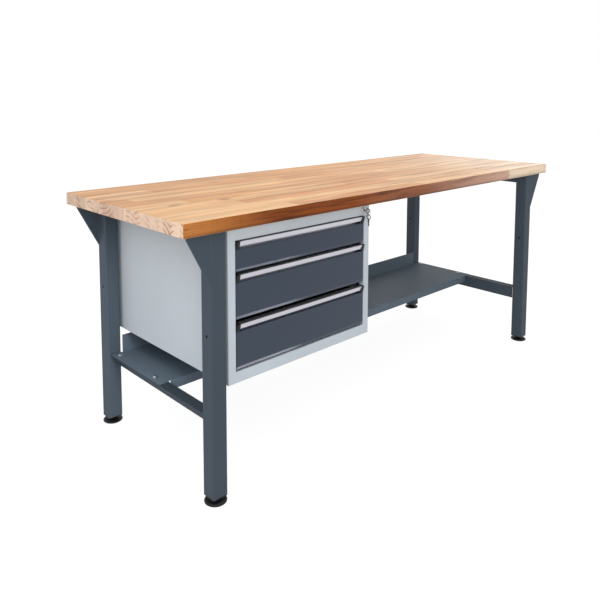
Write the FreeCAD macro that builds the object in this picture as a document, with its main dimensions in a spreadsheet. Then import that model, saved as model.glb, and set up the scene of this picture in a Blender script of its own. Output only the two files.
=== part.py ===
import FreeCAD, Part
import math
import os
from types import SimpleNamespace

import Sketcher
from FreeCAD import Placement, Rotation, Vector

# Driving dimensions of the bench, in millimetres.
SIZES = dict(
    bench_length=2000,
    bench_depth=700,
    bench_height=820,
    top_thick=40,
    top_round=3,
    # Tube legs with their side holes and outer stiffening plates.
    leg_size=50,
    leg_wall=3,
    leg_round=5,
    leg_end_inset=100,
    leg_front_inset=20,
    leg_bottom=22,
    leg_hole_dia=9,
    leg_hole_height=486,
    gusset_reach=75,
    gusset_drop=150,
    gusset_nose=12,
    gusset_thick=6,
    gusset_setback=1,
    # Rails that tie front and rear legs together.
    top_rail_width=40,
    top_rail_drop=40,
    top_rail_thick=3,
    bar_below_case=82,
    bar_drop=50,
    bar_flange=40,
    bar_thick=2.5,
    bar_bend=4,
    bar_hole_dia=9,
    bar_hole_setback=22,
    # Half-depth sheet shelf and its bolts.
    shelf_depth=310,
    shelf_thick=1.5,
    shelf_bend=1.5,
    shelf_flange=30,
    shelf_lip=60,
    shelf_leg_gap=2,
    shelf_end_inset=2,
    shelf_bar_gap=4,
    notch_depth=6,
    bolt_dia=8,
    bolt_head_dia=14,
    bolt_head_high=4.4,
    bolt_inset=28,
    bolt_front_inset=55,
    bolt_gap=0.3,
    washer_dia=20,
    washer_thick=1.6,
    nut_width=13,
    nut_high=6.5,
    # Screw-in feet in plastic tube inserts.
    insert_flange=3,
    insert_depth=25,
    insert_gap=0.3,
    foot_dia=64,
    foot_thick=8,
    foot_hub_dia=26,
    foot_stem_dia=12,
    foot_stem_up=40,
    foot_gap=0.3,
    # Screws that hold rails and drawer case to the worktop.
    screw_dia=6,
    screw_head_dia=12,
    screw_head_high=3.5,
    screw_bite=25,
    screw_gap=0.3,
    rail_screw_pitch=210,
    case_screw_inset=60,
    # Sheet-metal drawer case.
    case_gap=12,
    case_width=600,
    case_high=450,
    case_depth=650,
    case_setback=28,
    case_sheet=2,
    frame_depth=20,
    stile_width=26,
    header_high=38,
    sill_high=33,
    frame_round=2,
    # Drawers, from the top down; the bottom one takes what is left.
    drawer_high_top=96,
    drawer_high_middle=136,
    reveal_top=3.5,
    reveal_middle=2.5,
    reveal_bottom=9,
    front_gap=2.5,
    front_foot_gap=5,
    front_thick=18,
    front_sheet=1.5,
    front_round=1.8,
    bevel_high=9,
    bevel_deep=2.5,
    grip_high=22.5,
    grip_reach=6,
    grip_lean=5.5,
    grip_wall=2,
    strip_high=14.5,
    strip_lip=1.5,
    strip_thick=1.2,
    strip_gap=0.1,
    cap_width=12,
    cap_reach=7,
    cap_low_reach=1,
    cap_round=0.8,
    box_sheet=1.5,
    box_depth=572,
    box_lift=10,
    box_drop=26,
    # Telescopic slides: three nested channels on each side.
    slide_thick=13,
    slide_high=36,
    slide_sheet=1.2,
    slide_gap=0.4,
    slide_length=550,
    slide_setback=18,
    slide_lift=4,
    slide_edge_gap=1,
    bracket_thick=3,
    bracket_inset=60,
    # Cam lock, its rod and its keys.
    lock_inset=28,
    lock_rise=17,
    lock_flange_dia=22,
    lock_flange_thick=3,
    lock_body_dia=18,
    lock_body_long=24,
    lock_gap=0.3,
    plug_dia=12,
    plug_proud=1,
    plug_gap=0.06,
    cam_dia=20,
    cam_thick=3,
    cam_tail_dia=7,
    cam_pin_dia=4,
    cam_pin_radius=7,
    cam_gap=0.1,
    rod_thick=3,
    rod_left=4,
    rod_gap=0.4,
    rod_lift=16,
    rod_head=10,
    slot_gap=0.4,
    hook_reach=14,
    hook_high=8,
    hook_rise=2,
    catch_thick=3,
    catch_gap=1.4,
    catch_lift=5,
    key_thick=1.5,
    key_blade_high=6,
    key_blade_in=18,
    key_neck=4,
    key_bow_dia=18,
    key_hole_dia=12,
    key_gap=0.15,
    ring_radius=11,
    ring_wire_dia=1.2,
    ring_lead=2.5,
    ring_gap=0.1,
)

DOC = FreeCAD.newDocument("workbench")
SHEET = DOC.addObject("Spreadsheet::Sheet", "Sizes")
for row, (alias, amount) in enumerate(SIZES.items(), 1):
    SHEET.set(f"A{row}", alias)
    SHEET.set(f"B{row}", str(amount))
    SHEET.setAlias(f"B{row}", alias)
DOC.recompute()


class Size:
    """A length that carries its sheet expression beside its value."""

    def __init__(self, text, value):
        self.text = text
        self.value = value

    def __add__(self, other):
        other = as_size(other)
        return Size(f"({self.text} + {other.text})", self.value + other.value)

    def __sub__(self, other):
        other = as_size(other)
        return Size(f"({self.text} - {other.text})", self.value - other.value)

    def __mul__(self, other):
        other = as_size(other)
        return Size(f"({self.text} * {other.text})", self.value * other.value)

    def __truediv__(self, other):
        other = as_size(other)
        return Size(f"({self.text} / {other.text})", self.value / other.value)

    def __neg__(self):
        return Size(f"(0 - {self.text})", -self.value)

    def __radd__(self, other):
        return as_size(other) + self

    def __rsub__(self, other):
        return as_size(other) - self


def as_size(amount):
    return amount if isinstance(amount, Size) else Size(str(amount), amount)


S = SimpleNamespace(**{name: Size(f"Sizes.{name}", value) for name, value in SIZES.items()})
NODES = {}
LEFT, RIGHT = -1, 1
FRONT, REAR = -1, 1
SIDES = {LEFT: "left", RIGHT: "right"}
ENDS = {FRONT: "front", REAR: "rear"}
NEAR = 0.01


def bind(thing, prop, amount):
    thing.setExpression(prop, as_size(amount).text)


def place(thing, **spots):
    for axis, spot in spots.items():
        bind(thing, f"Placement.Base.{axis}", spot)


def node(label, thing):
    thing.Label = label
    NODES[label] = thing
    return thing


def mirrored(side, near, far):
    """Low and high end of a stretch that starts `near` the middle on one side."""
    return (near, far) if side > 0 else (-far, -near)


def about(middle, half):
    return (middle - half, middle + half)


def box(label, x, y, z):
    solid = DOC.addObject("Part::Box", label)
    for prop, axis, (low, high) in zip(("Length", "Width", "Height"), "xyz", (x, y, z)):
        bind(solid, prop, as_size(high) - low)
        place(solid, **{axis: low})
    return solid


AXIS_TURNS = dict(
    x=Rotation(Vector(0, 1, 0), 90),
    y=Rotation(Vector(1, 0, 0), -90),
    z=Rotation(),
)


def cylinder(label, radius, x, y, z):
    """Round bar along the one axis that is given as a (low, high) pair."""
    spots = dict(x=x, y=y, z=z)
    axis = next(name for name, spot in spots.items() if isinstance(spot, tuple))
    low, high = spots[axis]
    spots[axis] = low
    solid = DOC.addObject("Part::Cylinder", label)
    solid.Placement = Placement(Vector(), AXIS_TURNS[axis])
    bind(solid, "Radius", radius)
    bind(solid, "Height", as_size(high) - low)
    place(solid, **spots)
    return solid


def together(label, pieces):
    group = DOC.addObject("Part::Compound", label)
    group.Links = pieces
    return group


def fuse(label, *pieces):
    joined = DOC.addObject("Part::MultiFuse", label)
    joined.Shapes = pieces
    joined.Refine = True
    return joined


def cut(label, base, *tools):
    result = DOC.addObject("Part::Cut", label)
    result.Base = base
    result.Tool = tools[0] if len(tools) == 1 else together(f"{label}_tools", list(tools))
    return result


def outline_sketch(body, plane_role, outline):
    """Closed outline on one of the body's own planes, every corner bound to the sheet."""
    sketch = body.newObject("Sketcher::SketchObject", f"{body.Name}_sketch")
    plane = next(item for item in body.Origin.OriginFeatures if item.Role == plane_role)
    sketch.AttachmentSupport = [(plane, "")]
    sketch.MapMode = "FlatFace"
    corners = [Vector(as_size(u).value, as_size(v).value, 0) for u, v in outline]
    last = len(corners) - 1
    for index, corner in enumerate(corners):
        follower = corners[0 if index == last else index + 1]
        sketch.addGeometry(Part.LineSegment(corner, follower), False)
    for index, (u, v) in enumerate(outline):
        before = last if index == 0 else index - 1
        sketch.addConstraint(Sketcher.Constraint("Coincident", before, 2, index, 1))
        for kind, amount in (("DistanceX", u), ("DistanceY", v)):
            amount = as_size(amount)
            number = sketch.addConstraint(
                Sketcher.Constraint(kind, -1, 1, index, 1, amount.value)
            )
            sketch.setExpression(f"Constraints[{number}]", amount.text)
    return sketch


PROFILE_PLANES = dict(x="YZ_Plane", y="XZ_Plane", z="XY_Plane")


def profile(label, axis, outline, span):
    """Prism along an axis between the two ends of `span`."""
    body = DOC.addObject("PartDesign::Body", label)
    pad = body.newObject("PartDesign::Pad", f"{label}_pad")
    pad.Profile = outline_sketch(body, PROFILE_PLANES[axis], outline)
    low, high = span
    bind(pad, "Length", as_size(high) - low)
    body.Tip = pad
    place(body, **{axis: high if axis == "y" else low})
    return body


def turned(label, outline, x, y, z, turn=None):
    """Part turned about its own upright axis from (radius, height) corners."""
    body = DOC.addObject("PartDesign::Body", label)
    spin = body.newObject("PartDesign::Revolution", f"{label}_turn")
    sketch = outline_sketch(body, "XZ_Plane", outline)
    spin.Profile = sketch
    spin.ReferenceAxis = (sketch, ["V_Axis"])
    spin.Angle = 360
    body.Tip = spin
    if turn:
        body.Placement = Placement(Vector(), turn)
    place(body, x=x, y=y, z=z)
    return body


def round_edges(body, radius, pick=lambda edge: True):
    DOC.recompute()
    base = body.Tip
    names = [f"Edge{number}" for number, edge in enumerate(base.Shape.Edges, 1) if pick(edge)]
    rounding = body.newObject("PartDesign::Fillet", f"{body.Name}_round_{len(body.Group)}")
    rounding.Base = (base, names)
    bind(rounding, "Radius", radius)
    body.Tip = rounding
    return body


def runs_along(direction):
    """Edge test: straight edges that run along a direction."""
    return lambda edge: abs(edge.tangentAt(edge.FirstParameter).dot(direction)) > 0.999


def runs_through(points):
    """Edge test: edges along X whose (y, z) place is one of the points."""
    spots = [(y.value, z.value) for y, z in points]

    def is_there(edge):
        middle = edge.CenterOfMass
        along = runs_along(Vector(1, 0, 0))(edge)
        return along and any(math.hypot(middle.y - y, middle.z - z) < NEAR for y, z in spots)

    return is_there


def rectangle(u, v):
    return [(u[0], v[0]), (u[1], v[0]), (u[1], v[1]), (u[0], v[1])]


# Places shared by several pieces.
TOP_UNDER = S.bench_height - S.top_thick
HALF_LENGTH = S.bench_length / 2
HALF_DEPTH = S.bench_depth / 2
LEG_OUTER = HALF_LENGTH - S.leg_end_inset
LEG_INNER = LEG_OUTER - S.leg_size
LEG_FAR = HALF_DEPTH - S.leg_front_inset
LEG_NEAR = LEG_FAR - S.leg_size
LEG_MID_X = LEG_OUTER - S.leg_size / 2
LEG_MID_Y = LEG_FAR - S.leg_size / 2

CASE_LOW = TOP_UNDER - S.case_high
BAR_TOP = CASE_LOW - S.bar_below_case
SHELF_REAR = LEG_NEAR - S.shelf_leg_gap
SHELF_FRONT = SHELF_REAR - S.shelf_depth
SHELF_TOP = BAR_TOP + S.shelf_thick
BOLT_X = LEG_INNER + S.bar_flange / 2
BOLT_YS = (SHELF_FRONT + S.bolt_front_inset, SHELF_REAR - S.bolt_inset)
BAR_HOLE_Y = -LEG_NEAR + S.bar_hole_setback

CASE_LEFT = -LEG_INNER + S.case_gap
CASE_RIGHT = CASE_LEFT + S.case_width
CASE_MID = CASE_LEFT + S.case_width / 2
CASE_FRONT = -HALF_DEPTH + S.case_setback
CASE_REAR = CASE_FRONT + S.case_depth
FRAME_BACK = CASE_FRONT + S.frame_depth
OPEN_HALF = S.case_width / 2 - S.stile_width
OPEN_TOP = TOP_UNDER - S.header_high
OPEN_LOW = CASE_LOW + S.sill_high
PANEL_INNER = S.case_width / 2 - S.case_sheet

RAIL_MID_X = LEG_MID_X
RAIL_SCREWS = [
    (RAIL_MID_X * side, S.rail_screw_pitch * step) for side in SIDES for step in (-1, 0, 1)
]
CASE_SCREWS = [
    (x, y)
    for x in (CASE_LEFT + S.case_screw_inset, CASE_RIGHT - S.case_screw_inset)
    for y in (FRAME_BACK + S.case_screw_inset, CASE_REAR - S.case_screw_inset)
]


def screw(label, x, y, seat):
    """Pan-head wood screw driven upwards; its head bears on the level `seat`."""
    shank = S.screw_dia / 2
    head = S.screw_head_dia / 2
    outline = [
        (0, -S.screw_head_high),
        (head - 1, -S.screw_head_high),
        (head, 1 - S.screw_head_high),
        (head, 0),
        (shank, 0),
        (shank, S.screw_bite - 4),
        (0, S.screw_bite),
    ]
    return turned(label, outline, x, y, seat)


def screw_hole(label, x, y, low, high):
    return cylinder(label, S.screw_dia / 2 + S.screw_gap, x, y, (low, high))


def make_worktop():
    spread = about(as_size(0), HALF_LENGTH)
    depth = about(as_size(0), HALF_DEPTH)
    slab = profile("worktop_slab", "z", rectangle(spread, depth), (TOP_UNDER, S.bench_height))
    round_edges(slab, S.top_round)
    deepest = TOP_UNDER + S.screw_bite + 1
    holes = [
        screw_hole(f"worktop_pilot_{number}", x, y, TOP_UNDER - 1, deepest)
        for number, (x, y) in enumerate(RAIL_SCREWS + CASE_SCREWS)
    ]
    node("worktop", cut("worktop_drilled", slab, *holes))
    rail_seat = TOP_UNDER - S.top_rail_thick
    screws = [screw(f"rail_screw_{n}", x, y, rail_seat) for n, (x, y) in enumerate(RAIL_SCREWS)]
    node("worktop_screws", together("worktop_screw_set", screws))


def make_leg(side, end):
    name = f"{SIDES[side]}_{ENDS[end]}_leg"
    x = mirrored(side, LEG_INNER, LEG_OUTER)
    y = mirrored(end, LEG_NEAR, LEG_FAR)
    wall = S.leg_wall
    outside = profile(f"{name}_outside", "z", rectangle(x, y), (S.leg_bottom, TOP_UNDER))
    round_edges(outside, S.leg_round, runs_along(Vector(0, 0, 1)))
    hollow = rectangle((x[0] + wall, x[1] - wall), (y[0] + wall, y[1] - wall))
    inside = profile(f"{name}_inside", "z", hollow, (S.leg_bottom - 1, TOP_UNDER + 1))
    round_edges(inside, S.leg_round - wall, runs_along(Vector(0, 0, 1)))
    hole_x = (x[0] - 1, x[1] + 1)
    hole = cylinder(
        f"{name}_hole", S.leg_hole_dia / 2, hole_x, LEG_MID_Y * end, S.leg_hole_height
    )
    node(name, cut(f"{name}_tube", outside, inside, hole))


def make_insert(side, end):
    name = f"insert_{SIDES[side]}_{ENDS[end]}"
    mid_x = LEG_MID_X * side
    mid_y = LEG_MID_Y * end
    flange_half = S.leg_size / 2
    plug_half = flange_half - S.leg_wall - S.insert_gap
    flange_low = S.leg_bottom - S.insert_flange
    upright = runs_along(Vector(0, 0, 1))
    flange = profile(
        f"{name}_flange",
        "z",
        rectangle(about(mid_x, flange_half), about(mid_y, flange_half)),
        (flange_low, S.leg_bottom),
    )
    round_edges(flange, S.leg_round, upright)
    plug = profile(
        f"{name}_plug",
        "z",
        rectangle(about(mid_x, plug_half), about(mid_y, plug_half)),
        (S.leg_bottom, S.leg_bottom + S.insert_depth),
    )
    round_edges(plug, S.leg_round - S.leg_wall, upright)
    bore = cylinder(
        f"{name}_bore",
        S.foot_stem_dia / 2 + S.foot_gap,
        mid_x,
        mid_y,
        (flange_low - 1, S.leg_bottom + S.insert_depth + 1),
    )
    return cut(name, fuse(f"{name}_blank", flange, plug), bore)


def make_foot(side, end):
    name = f"{SIDES[side]}_{ENDS[end]}_foot"
    hub_top = S.leg_bottom - S.insert_flange
    disc = S.foot_dia / 2
    hub = S.foot_hub_dia / 2
    stem = S.foot_stem_dia / 2
    outline = [
        (0, 0),
        (disc - 1.5, 0),
        (disc, 1.5),
        (disc, S.foot_thick - 3),
        (disc - 4, S.foot_thick),
        (hub, S.foot_thick + 3),
        (hub, hub_top),
        (stem, hub_top),
        (stem, hub_top + S.foot_stem_up - 1),
        (stem - 1, hub_top + S.foot_stem_up),
        (0, hub_top + S.foot_stem_up),
    ]
    node(name, turned(f"{name}_turned", outline, LEG_MID_X * side, LEG_MID_Y * end, 0))


def make_gusset(side, end):
    """Flat corner plate on the outer side of a leg, close to its front or rear face."""
    drop = TOP_UNDER - S.gusset_drop
    outline = [
        (LEG_OUTER * side, TOP_UNDER),
        ((LEG_OUTER + S.gusset_reach) * side, TOP_UNDER),
        ((LEG_OUTER + S.gusset_reach) * side, TOP_UNDER - S.gusset_nose),
        (LEG_OUTER * side, drop),
    ]
    face = LEG_FAR - S.gusset_setback
    span = mirrored(end, face - S.gusset_thick, face)
    return profile(f"gusset_{SIDES[side]}_{ENDS[end]}", "y", outline, span)


def make_top_rail(side):
    """Angle under the worktop between the two legs of one end frame."""
    name = f"{SIDES[side]}_top_rail"
    inner = RAIL_MID_X - S.top_rail_width / 2
    outer = RAIL_MID_X + S.top_rail_width / 2
    thick = S.top_rail_thick
    outline = [
        (inner * side, TOP_UNDER),
        (outer * side, TOP_UNDER),
        (outer * side, TOP_UNDER - thick),
        ((inner + thick) * side, TOP_UNDER - thick),
        ((inner + thick) * side, TOP_UNDER - S.top_rail_drop),
        (inner * side, TOP_UNDER - S.top_rail_drop),
    ]
    angle = profile(f"{name}_angle", "y", outline, (-LEG_NEAR, LEG_NEAR))
    holes = [
        screw_hole(f"{name}_hole_{step}", x, y, TOP_UNDER - thick - 1, TOP_UNDER + 1)
        for step, (x, y) in enumerate(RAIL_SCREWS)
        if x.value * side > 0
    ]
    node(name, cut(f"{name}_drilled", angle, *holes))


def make_crossbar(side):
    """Folded angle low between the legs: upright web inside, flat flange outside."""
    name = f"{SIDES[side]}_crossbar"
    flange_out = LEG_INNER + S.bar_flange
    thick = S.bar_thick
    low = BAR_TOP - S.bar_drop
    outline = [
        (LEG_INNER * side, BAR_TOP),
        (flange_out * side, BAR_TOP),
        (flange_out * side, BAR_TOP - thick),
        ((LEG_INNER + thick) * side, BAR_TOP - thick),
        ((LEG_INNER + thick) * side, low),
        (LEG_INNER * side, low),
    ]
    angle = profile(f"{name}_angle", "y", outline, (-LEG_NEAR, LEG_NEAR))
    bend_x = LEG_INNER.value * side
    bend_z = BAR_TOP.value

    def is_bend(edge):
        middle = edge.CenterOfMass
        return abs(middle.x - bend_x) < NEAR and abs(middle.z - bend_z) < NEAR

    round_edges(angle, S.bar_bend, is_bend)
    holes = [
        cylinder(
            f"{name}_hole_{number}",
            S.bar_hole_dia / 2,
            BOLT_X * side,
            y,
            (BAR_TOP - thick - 1, BAR_TOP + 1),
        )
        for number, y in enumerate((BAR_HOLE_Y, *BOLT_YS))
    ]
    node(name, cut(f"{name}_drilled", angle, *holes))


def make_shelf():
    """Sheet shelf: folded-down front flange, flat deck, raised rear lip and flat bolted ends."""
    thick = S.shelf_thick
    deck = (BAR_TOP, SHELF_TOP)
    fold_end = LEG_INNER - S.shelf_bar_gap
    deck_end = LEG_INNER + S.bar_flange - S.shelf_end_inset
    flange_low = SHELF_TOP - S.shelf_flange
    lip_top = SHELF_TOP + S.shelf_lip
    outline = [
        (SHELF_FRONT, flange_low),
        (SHELF_FRONT + thick, flange_low),
        (SHELF_FRONT + thick, BAR_TOP),
        (SHELF_REAR, BAR_TOP),
        (SHELF_REAR, lip_top),
        (SHELF_REAR - thick, lip_top),
        (SHELF_REAR - thick, SHELF_TOP),
        (SHELF_FRONT, SHELF_TOP),
    ]
    strip = profile("shelf_strip", "x", outline, (-fold_end, fold_end))
    inner_folds = ((SHELF_FRONT + thick, BAR_TOP), (SHELF_REAR - thick, SHELF_TOP))
    outer_folds = ((SHELF_FRONT, SHELF_TOP), (SHELF_REAR, BAR_TOP))
    round_edges(strip, S.shelf_bend, runs_through(inner_folds))
    round_edges(strip, S.shelf_bend + thick, runs_through(outer_folds))
    pieces = [strip]
    holes = []
    for side in SIDES:
        tag = SIDES[side]
        neck_y = (SHELF_FRONT + S.notch_depth, SHELF_REAR - S.notch_depth)
        pieces.append(box(f"shelf_neck_{tag}", mirrored(side, fold_end, LEG_INNER), neck_y, deck))
        end_x = mirrored(side, LEG_INNER, deck_end)
        pieces.append(box(f"shelf_end_{tag}", end_x, (SHELF_FRONT, SHELF_REAR), deck))
        for number, y in enumerate(BOLT_YS):
            through = (BAR_TOP - 1, SHELF_TOP + 1)
            hole = f"shelf_hole_{tag}_{number}"
            holes.append(cylinder(hole, S.bar_hole_dia / 2, BOLT_X * side, y, through))
    node("lower_shelf", cut("shelf_cut", fuse("shelf_blank", *pieces), *holes))


def make_shelf_fasteners():
    bolts, washers, nuts = [], [], []
    shank = S.bolt_dia / 2
    head = S.bolt_head_dia / 2
    seat = SHELF_TOP + S.washer_thick
    nut_top = BAR_TOP - S.bar_thick
    nut_low = nut_top - S.nut_high
    bolt_low = nut_low - 2
    outline = [
        (0, bolt_low),
        (shank - 0.8, bolt_low),
        (shank, bolt_low + 0.8),
        (shank, seat),
        (head, seat),
        (head, seat + 1.2),
        (head - 1.6, seat + S.bolt_head_high - 1),
        (head - 3.5, seat + S.bolt_head_high),
        (0, seat + S.bolt_head_high),
    ]
    for side in SIDES:
        for number, y in enumerate(BOLT_YS):
            tag = f"{SIDES[side]}_{number}"
            x = BOLT_X * side
            bolts.append(turned(f"shelf_bolt_{tag}", outline, x, y, 0))
            bore = shank + S.bolt_gap
            disc = cylinder(f"washer_disc_{tag}", S.washer_dia / 2, x, y, (SHELF_TOP, seat))
            eye = cylinder(f"washer_eye_{tag}", bore, x, y, (SHELF_TOP - 1, seat + 1))
            washers.append(cut(f"washer_{tag}", disc, eye))
            hexagon = DOC.addObject("Part::Prism", f"nut_hexagon_{tag}")
            hexagon.Polygon = 6
            bind(hexagon, "Circumradius", S.nut_width / math.sqrt(3))
            bind(hexagon, "Height", S.nut_high)
            place(hexagon, x=x, y=y, z=nut_low)
            thread = cylinder(f"nut_bore_{tag}", bore, x, y, (nut_low - 1, nut_top + 1))
            nuts.append(cut(f"nut_{tag}", hexagon, thread))
    node("shelf_bolts", together("shelf_bolt_set", bolts))
    node("shelf_washers", together("shelf_washer_set", washers))
    node("shelf_nuts", together("shelf_nut_set", nuts))


LOCK_X = CASE_RIGHT - S.lock_inset
LOCK_Z = OPEN_TOP + S.lock_rise
COS_45 = math.sqrt(0.5)


def make_case():
    sheet = S.case_sheet
    low = CASE_LOW
    depth = (FRAME_BACK, CASE_REAR - sheet)
    height = (low, TOP_UNDER)
    width = (CASE_LEFT + sheet, CASE_RIGHT - sheet)
    node("case_left_panel", box("left_sheet", (CASE_LEFT, CASE_LEFT + sheet), depth, height))
    node("case_right_panel", box("right_sheet", (CASE_RIGHT - sheet, CASE_RIGHT), depth, height))
    node("case_bottom_panel", box("bottom_sheet", width, depth, (low, low + sheet)))
    rear = (CASE_REAR - sheet, CASE_REAR)
    node("case_back_panel", box("back_sheet", (CASE_LEFT, CASE_RIGHT), rear, height))

    top = box("top_sheet", width, depth, (TOP_UNDER - sheet, TOP_UNDER))
    holes = [
        screw_hole(f"top_sheet_hole_{number}", x, y, TOP_UNDER - sheet - 1, TOP_UNDER + 1)
        for number, (x, y) in enumerate(CASE_SCREWS)
    ]
    node("case_top_panel", cut("top_sheet_drilled", top, *holes))
    seat = TOP_UNDER - sheet
    screws = [screw(f"case_screw_{n}", x, y, seat) for n, (x, y) in enumerate(CASE_SCREWS)]
    node("case_screws", together("case_screw_set", screws))

    skin = CASE_FRONT + sheet
    face = rectangle((CASE_LEFT, CASE_RIGHT), height)
    blank = profile("frame_blank", "y", face, (CASE_FRONT, FRAME_BACK))
    nose = NEAR - S.frame_depth.value
    round_edges(blank, S.frame_round, lambda edge: edge.CenterOfMass.y < nose)
    through = (CASE_FRONT - 1, FRAME_BACK + 1)
    opening = box("frame_opening", about(CASE_MID, OPEN_HALF), through, (OPEN_LOW, OPEN_TOP))
    behind = (skin, FRAME_BACK + 1)
    fill = box("frame_hollow", width, behind, (low + sheet, TOP_UNDER - sheet))
    rim = (OPEN_LOW - sheet, OPEN_TOP + sheet)
    return_fold = box("frame_return", about(CASE_MID, OPEN_HALF + sheet), behind, rim)
    hollow = cut("frame_groove", fill, return_fold)
    lock_hole = cylinder(
        "frame_lock_hole", S.lock_body_dia / 2 + S.lock_gap, LOCK_X, through, LOCK_Z
    )
    node("case_front_frame", cut("frame_cut", blank, opening, hollow, lock_hole))


def slide_profiles(x0, inward, mid):
    """Channel outlines of one slide, from the case side towards the drawer."""
    sheet, gap = S.slide_sheet, S.slide_gap
    half = S.slide_high / 2

    def channel(start, stop, web_first, reach):
        web, tip = (start, stop) if web_first else (stop, start)
        step = 1 if web_first else -1
        web_in = web + sheet * step
        rows = [
            (web, mid + reach),
            (tip, mid + reach),
            (tip, mid + reach - sheet),
            (web_in, mid + reach - sheet),
            (web_in, mid - reach + sheet),
            (tip, mid - reach + sheet),
            (tip, mid - reach),
            (web, mid - reach),
        ]
        return [(x0 + u * inward, v) for u, v in rows]

    step = sheet + gap
    outer = channel(as_size(0), S.slide_thick - step * 2.5, True, half)
    middle = channel(step, S.slide_thick - step * 1.5, True, half - step)
    inner = channel(step * 2, S.slide_thick, False, half - step * 2)
    return outer, middle, inner


def make_slides(name, mid):
    outers, middles, inners = [], [], []
    start = FRAME_BACK + S.slide_setback
    span = (start, start + S.slide_length)
    edge = OPEN_HALF - S.slide_edge_gap
    for side in SIDES:
        tag = f"{name}_{SIDES[side]}"
        x0 = CASE_MID + edge * side
        outer, middle, inner = slide_profiles(x0, -side, mid)
        channel = profile(f"{tag}_outer_channel", "y", outer, span)
        x = mirrored(side, edge, PANEL_INNER)
        bracket_x = (CASE_MID + x[0], CASE_MID + x[1])
        bracket_z = about(mid, S.slide_high / 3)
        brackets = [
            box(f"{tag}_bracket_{number}", bracket_x, about(y, S.bracket_thick / 2), bracket_z)
            for number, y in enumerate((span[0] + S.bracket_inset, span[1] - S.bracket_inset))
        ]
        outers.append(fuse(f"{tag}_outer_rail", channel, *brackets))
        middles.append(profile(f"{tag}_middle_rail", "y", middle, span))
        inners.append(profile(f"{tag}_inner_rail", "y", inner, span))
    node(f"{name}_outer_rails", together(f"{name}_outer_pair", outers))
    node(f"{name}_middle_rails", together(f"{name}_middle_pair", middles))
    node(f"{name}_inner_rails", together(f"{name}_inner_pair", inners))


FRONT_HALF = OPEN_HALF - S.front_gap
BOX_HALF = OPEN_HALF - S.slide_edge_gap - S.slide_thick
FRONT_BACK = CASE_FRONT + S.front_thick
ROD_FRONT = CASE_FRONT + S.lock_body_long + S.cam_thick + S.rod_gap * 2
ROD_BACK = ROD_FRONT + S.rod_thick
CATCH_FRONT = ROD_BACK + S.catch_gap
CATCH_TIP = CASE_MID + FRONT_HALF - 1
HOOK_TIP = CASE_RIGHT - S.stile_width + S.rod_left - S.hook_reach


def catch_low(box_low):
    return box_low + S.slide_lift + S.slide_high + S.catch_lift


def make_drawer_front(name, low, top):
    """Folded pan: face, side returns and bevelled foot, open at the back."""
    sheet = S.front_sheet
    outside = [
        (CASE_FRONT, top),
        (FRONT_BACK, top),
        (FRONT_BACK, low),
        (CASE_FRONT + S.bevel_deep, low),
        (CASE_FRONT, low + S.bevel_high),
    ]
    inside = [
        (CASE_FRONT + sheet, top - sheet),
        (FRONT_BACK + 1, top - sheet),
        (FRONT_BACK + 1, low + sheet),
        (CASE_FRONT + S.bevel_deep + sheet / 2, low + sheet),
        (CASE_FRONT + sheet, low + S.bevel_high + sheet / 2),
    ]
    shell = profile(f"{name}_front_shell", "x", outside, about(CASE_MID, FRONT_HALF))
    bevel_back = (CASE_FRONT + S.bevel_deep).value - NEAR
    bevel_top = (low + S.bevel_high).value + NEAR

    def is_outer(edge):
        middle = edge.CenterOfMass
        sideways = runs_along(Vector(1, 0, 0))(edge)
        return middle.y < bevel_back and (middle.z > bevel_top or not sideways)

    round_edges(shell, S.front_round, is_outer)
    hollow = profile(f"{name}_front_hollow", "x", inside, about(CASE_MID, FRONT_HALF - sheet))
    node(f"{name}_front", cut(f"{name}_front_pan", shell, hollow))


def make_grip(name, low, top):
    """Extruded grip over the front, with its label strip and two end caps."""
    wall, lip, high, seat = S.grip_wall, S.strip_lip, S.strip_high, S.strip_thick
    back = seat + wall

    def lean(drop):
        return CASE_FRONT - S.grip_reach + S.grip_lean * drop / S.strip_high

    outline = [
        (FRONT_BACK, low),
        (FRONT_BACK, top),
        (lean(0), top),
        (lean(lip), top - lip),
        (lean(lip) + seat, top - lip),
        (lean(high - lip) + seat, top - high + lip),
        (lean(high - lip), top - high + lip),
        (lean(high), top - high),
        (lean(high) + back, top - high),
        (lean(wall) + back, top - wall),
        (FRONT_BACK - wall, top - wall),
        (FRONT_BACK - wall, low),
    ]
    half = FRONT_HALF - S.cap_width
    node(f"{name}_grip", profile(f"{name}_grip_bar", "x", outline, about(CASE_MID, half)))

    gap = S.strip_gap
    upper = lip + gap
    lower = high - lip - gap
    strip = [
        (lean(upper) + gap, top - upper),
        (lean(upper) + seat, top - upper),
        (lean(lower) + seat, top - lower),
        (lean(lower) + gap, top - lower),
    ]
    node(
        f"{name}_label_strip",
        profile(f"{name}_strip_bar", "x", strip, about(CASE_MID, half)),
    )

    cap = [
        (FRONT_BACK, low),
        (FRONT_BACK, top),
        (CASE_FRONT - S.cap_reach, top),
        (CASE_FRONT - S.cap_low_reach, low),
    ]
    nose = CASE_FRONT.value - NEAR
    caps = []
    for side in SIDES:
        x = mirrored(side, half, FRONT_HALF)
        span = (CASE_MID + x[0], CASE_MID + x[1])
        block = profile(f"{name}_cap_{SIDES[side]}", "x", cap, span)
        caps.append(round_edges(block, S.cap_round, lambda edge: edge.CenterOfMass.y < nose))
    node(f"{name}_grip_caps", together(f"{name}_cap_pair", caps))


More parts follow.
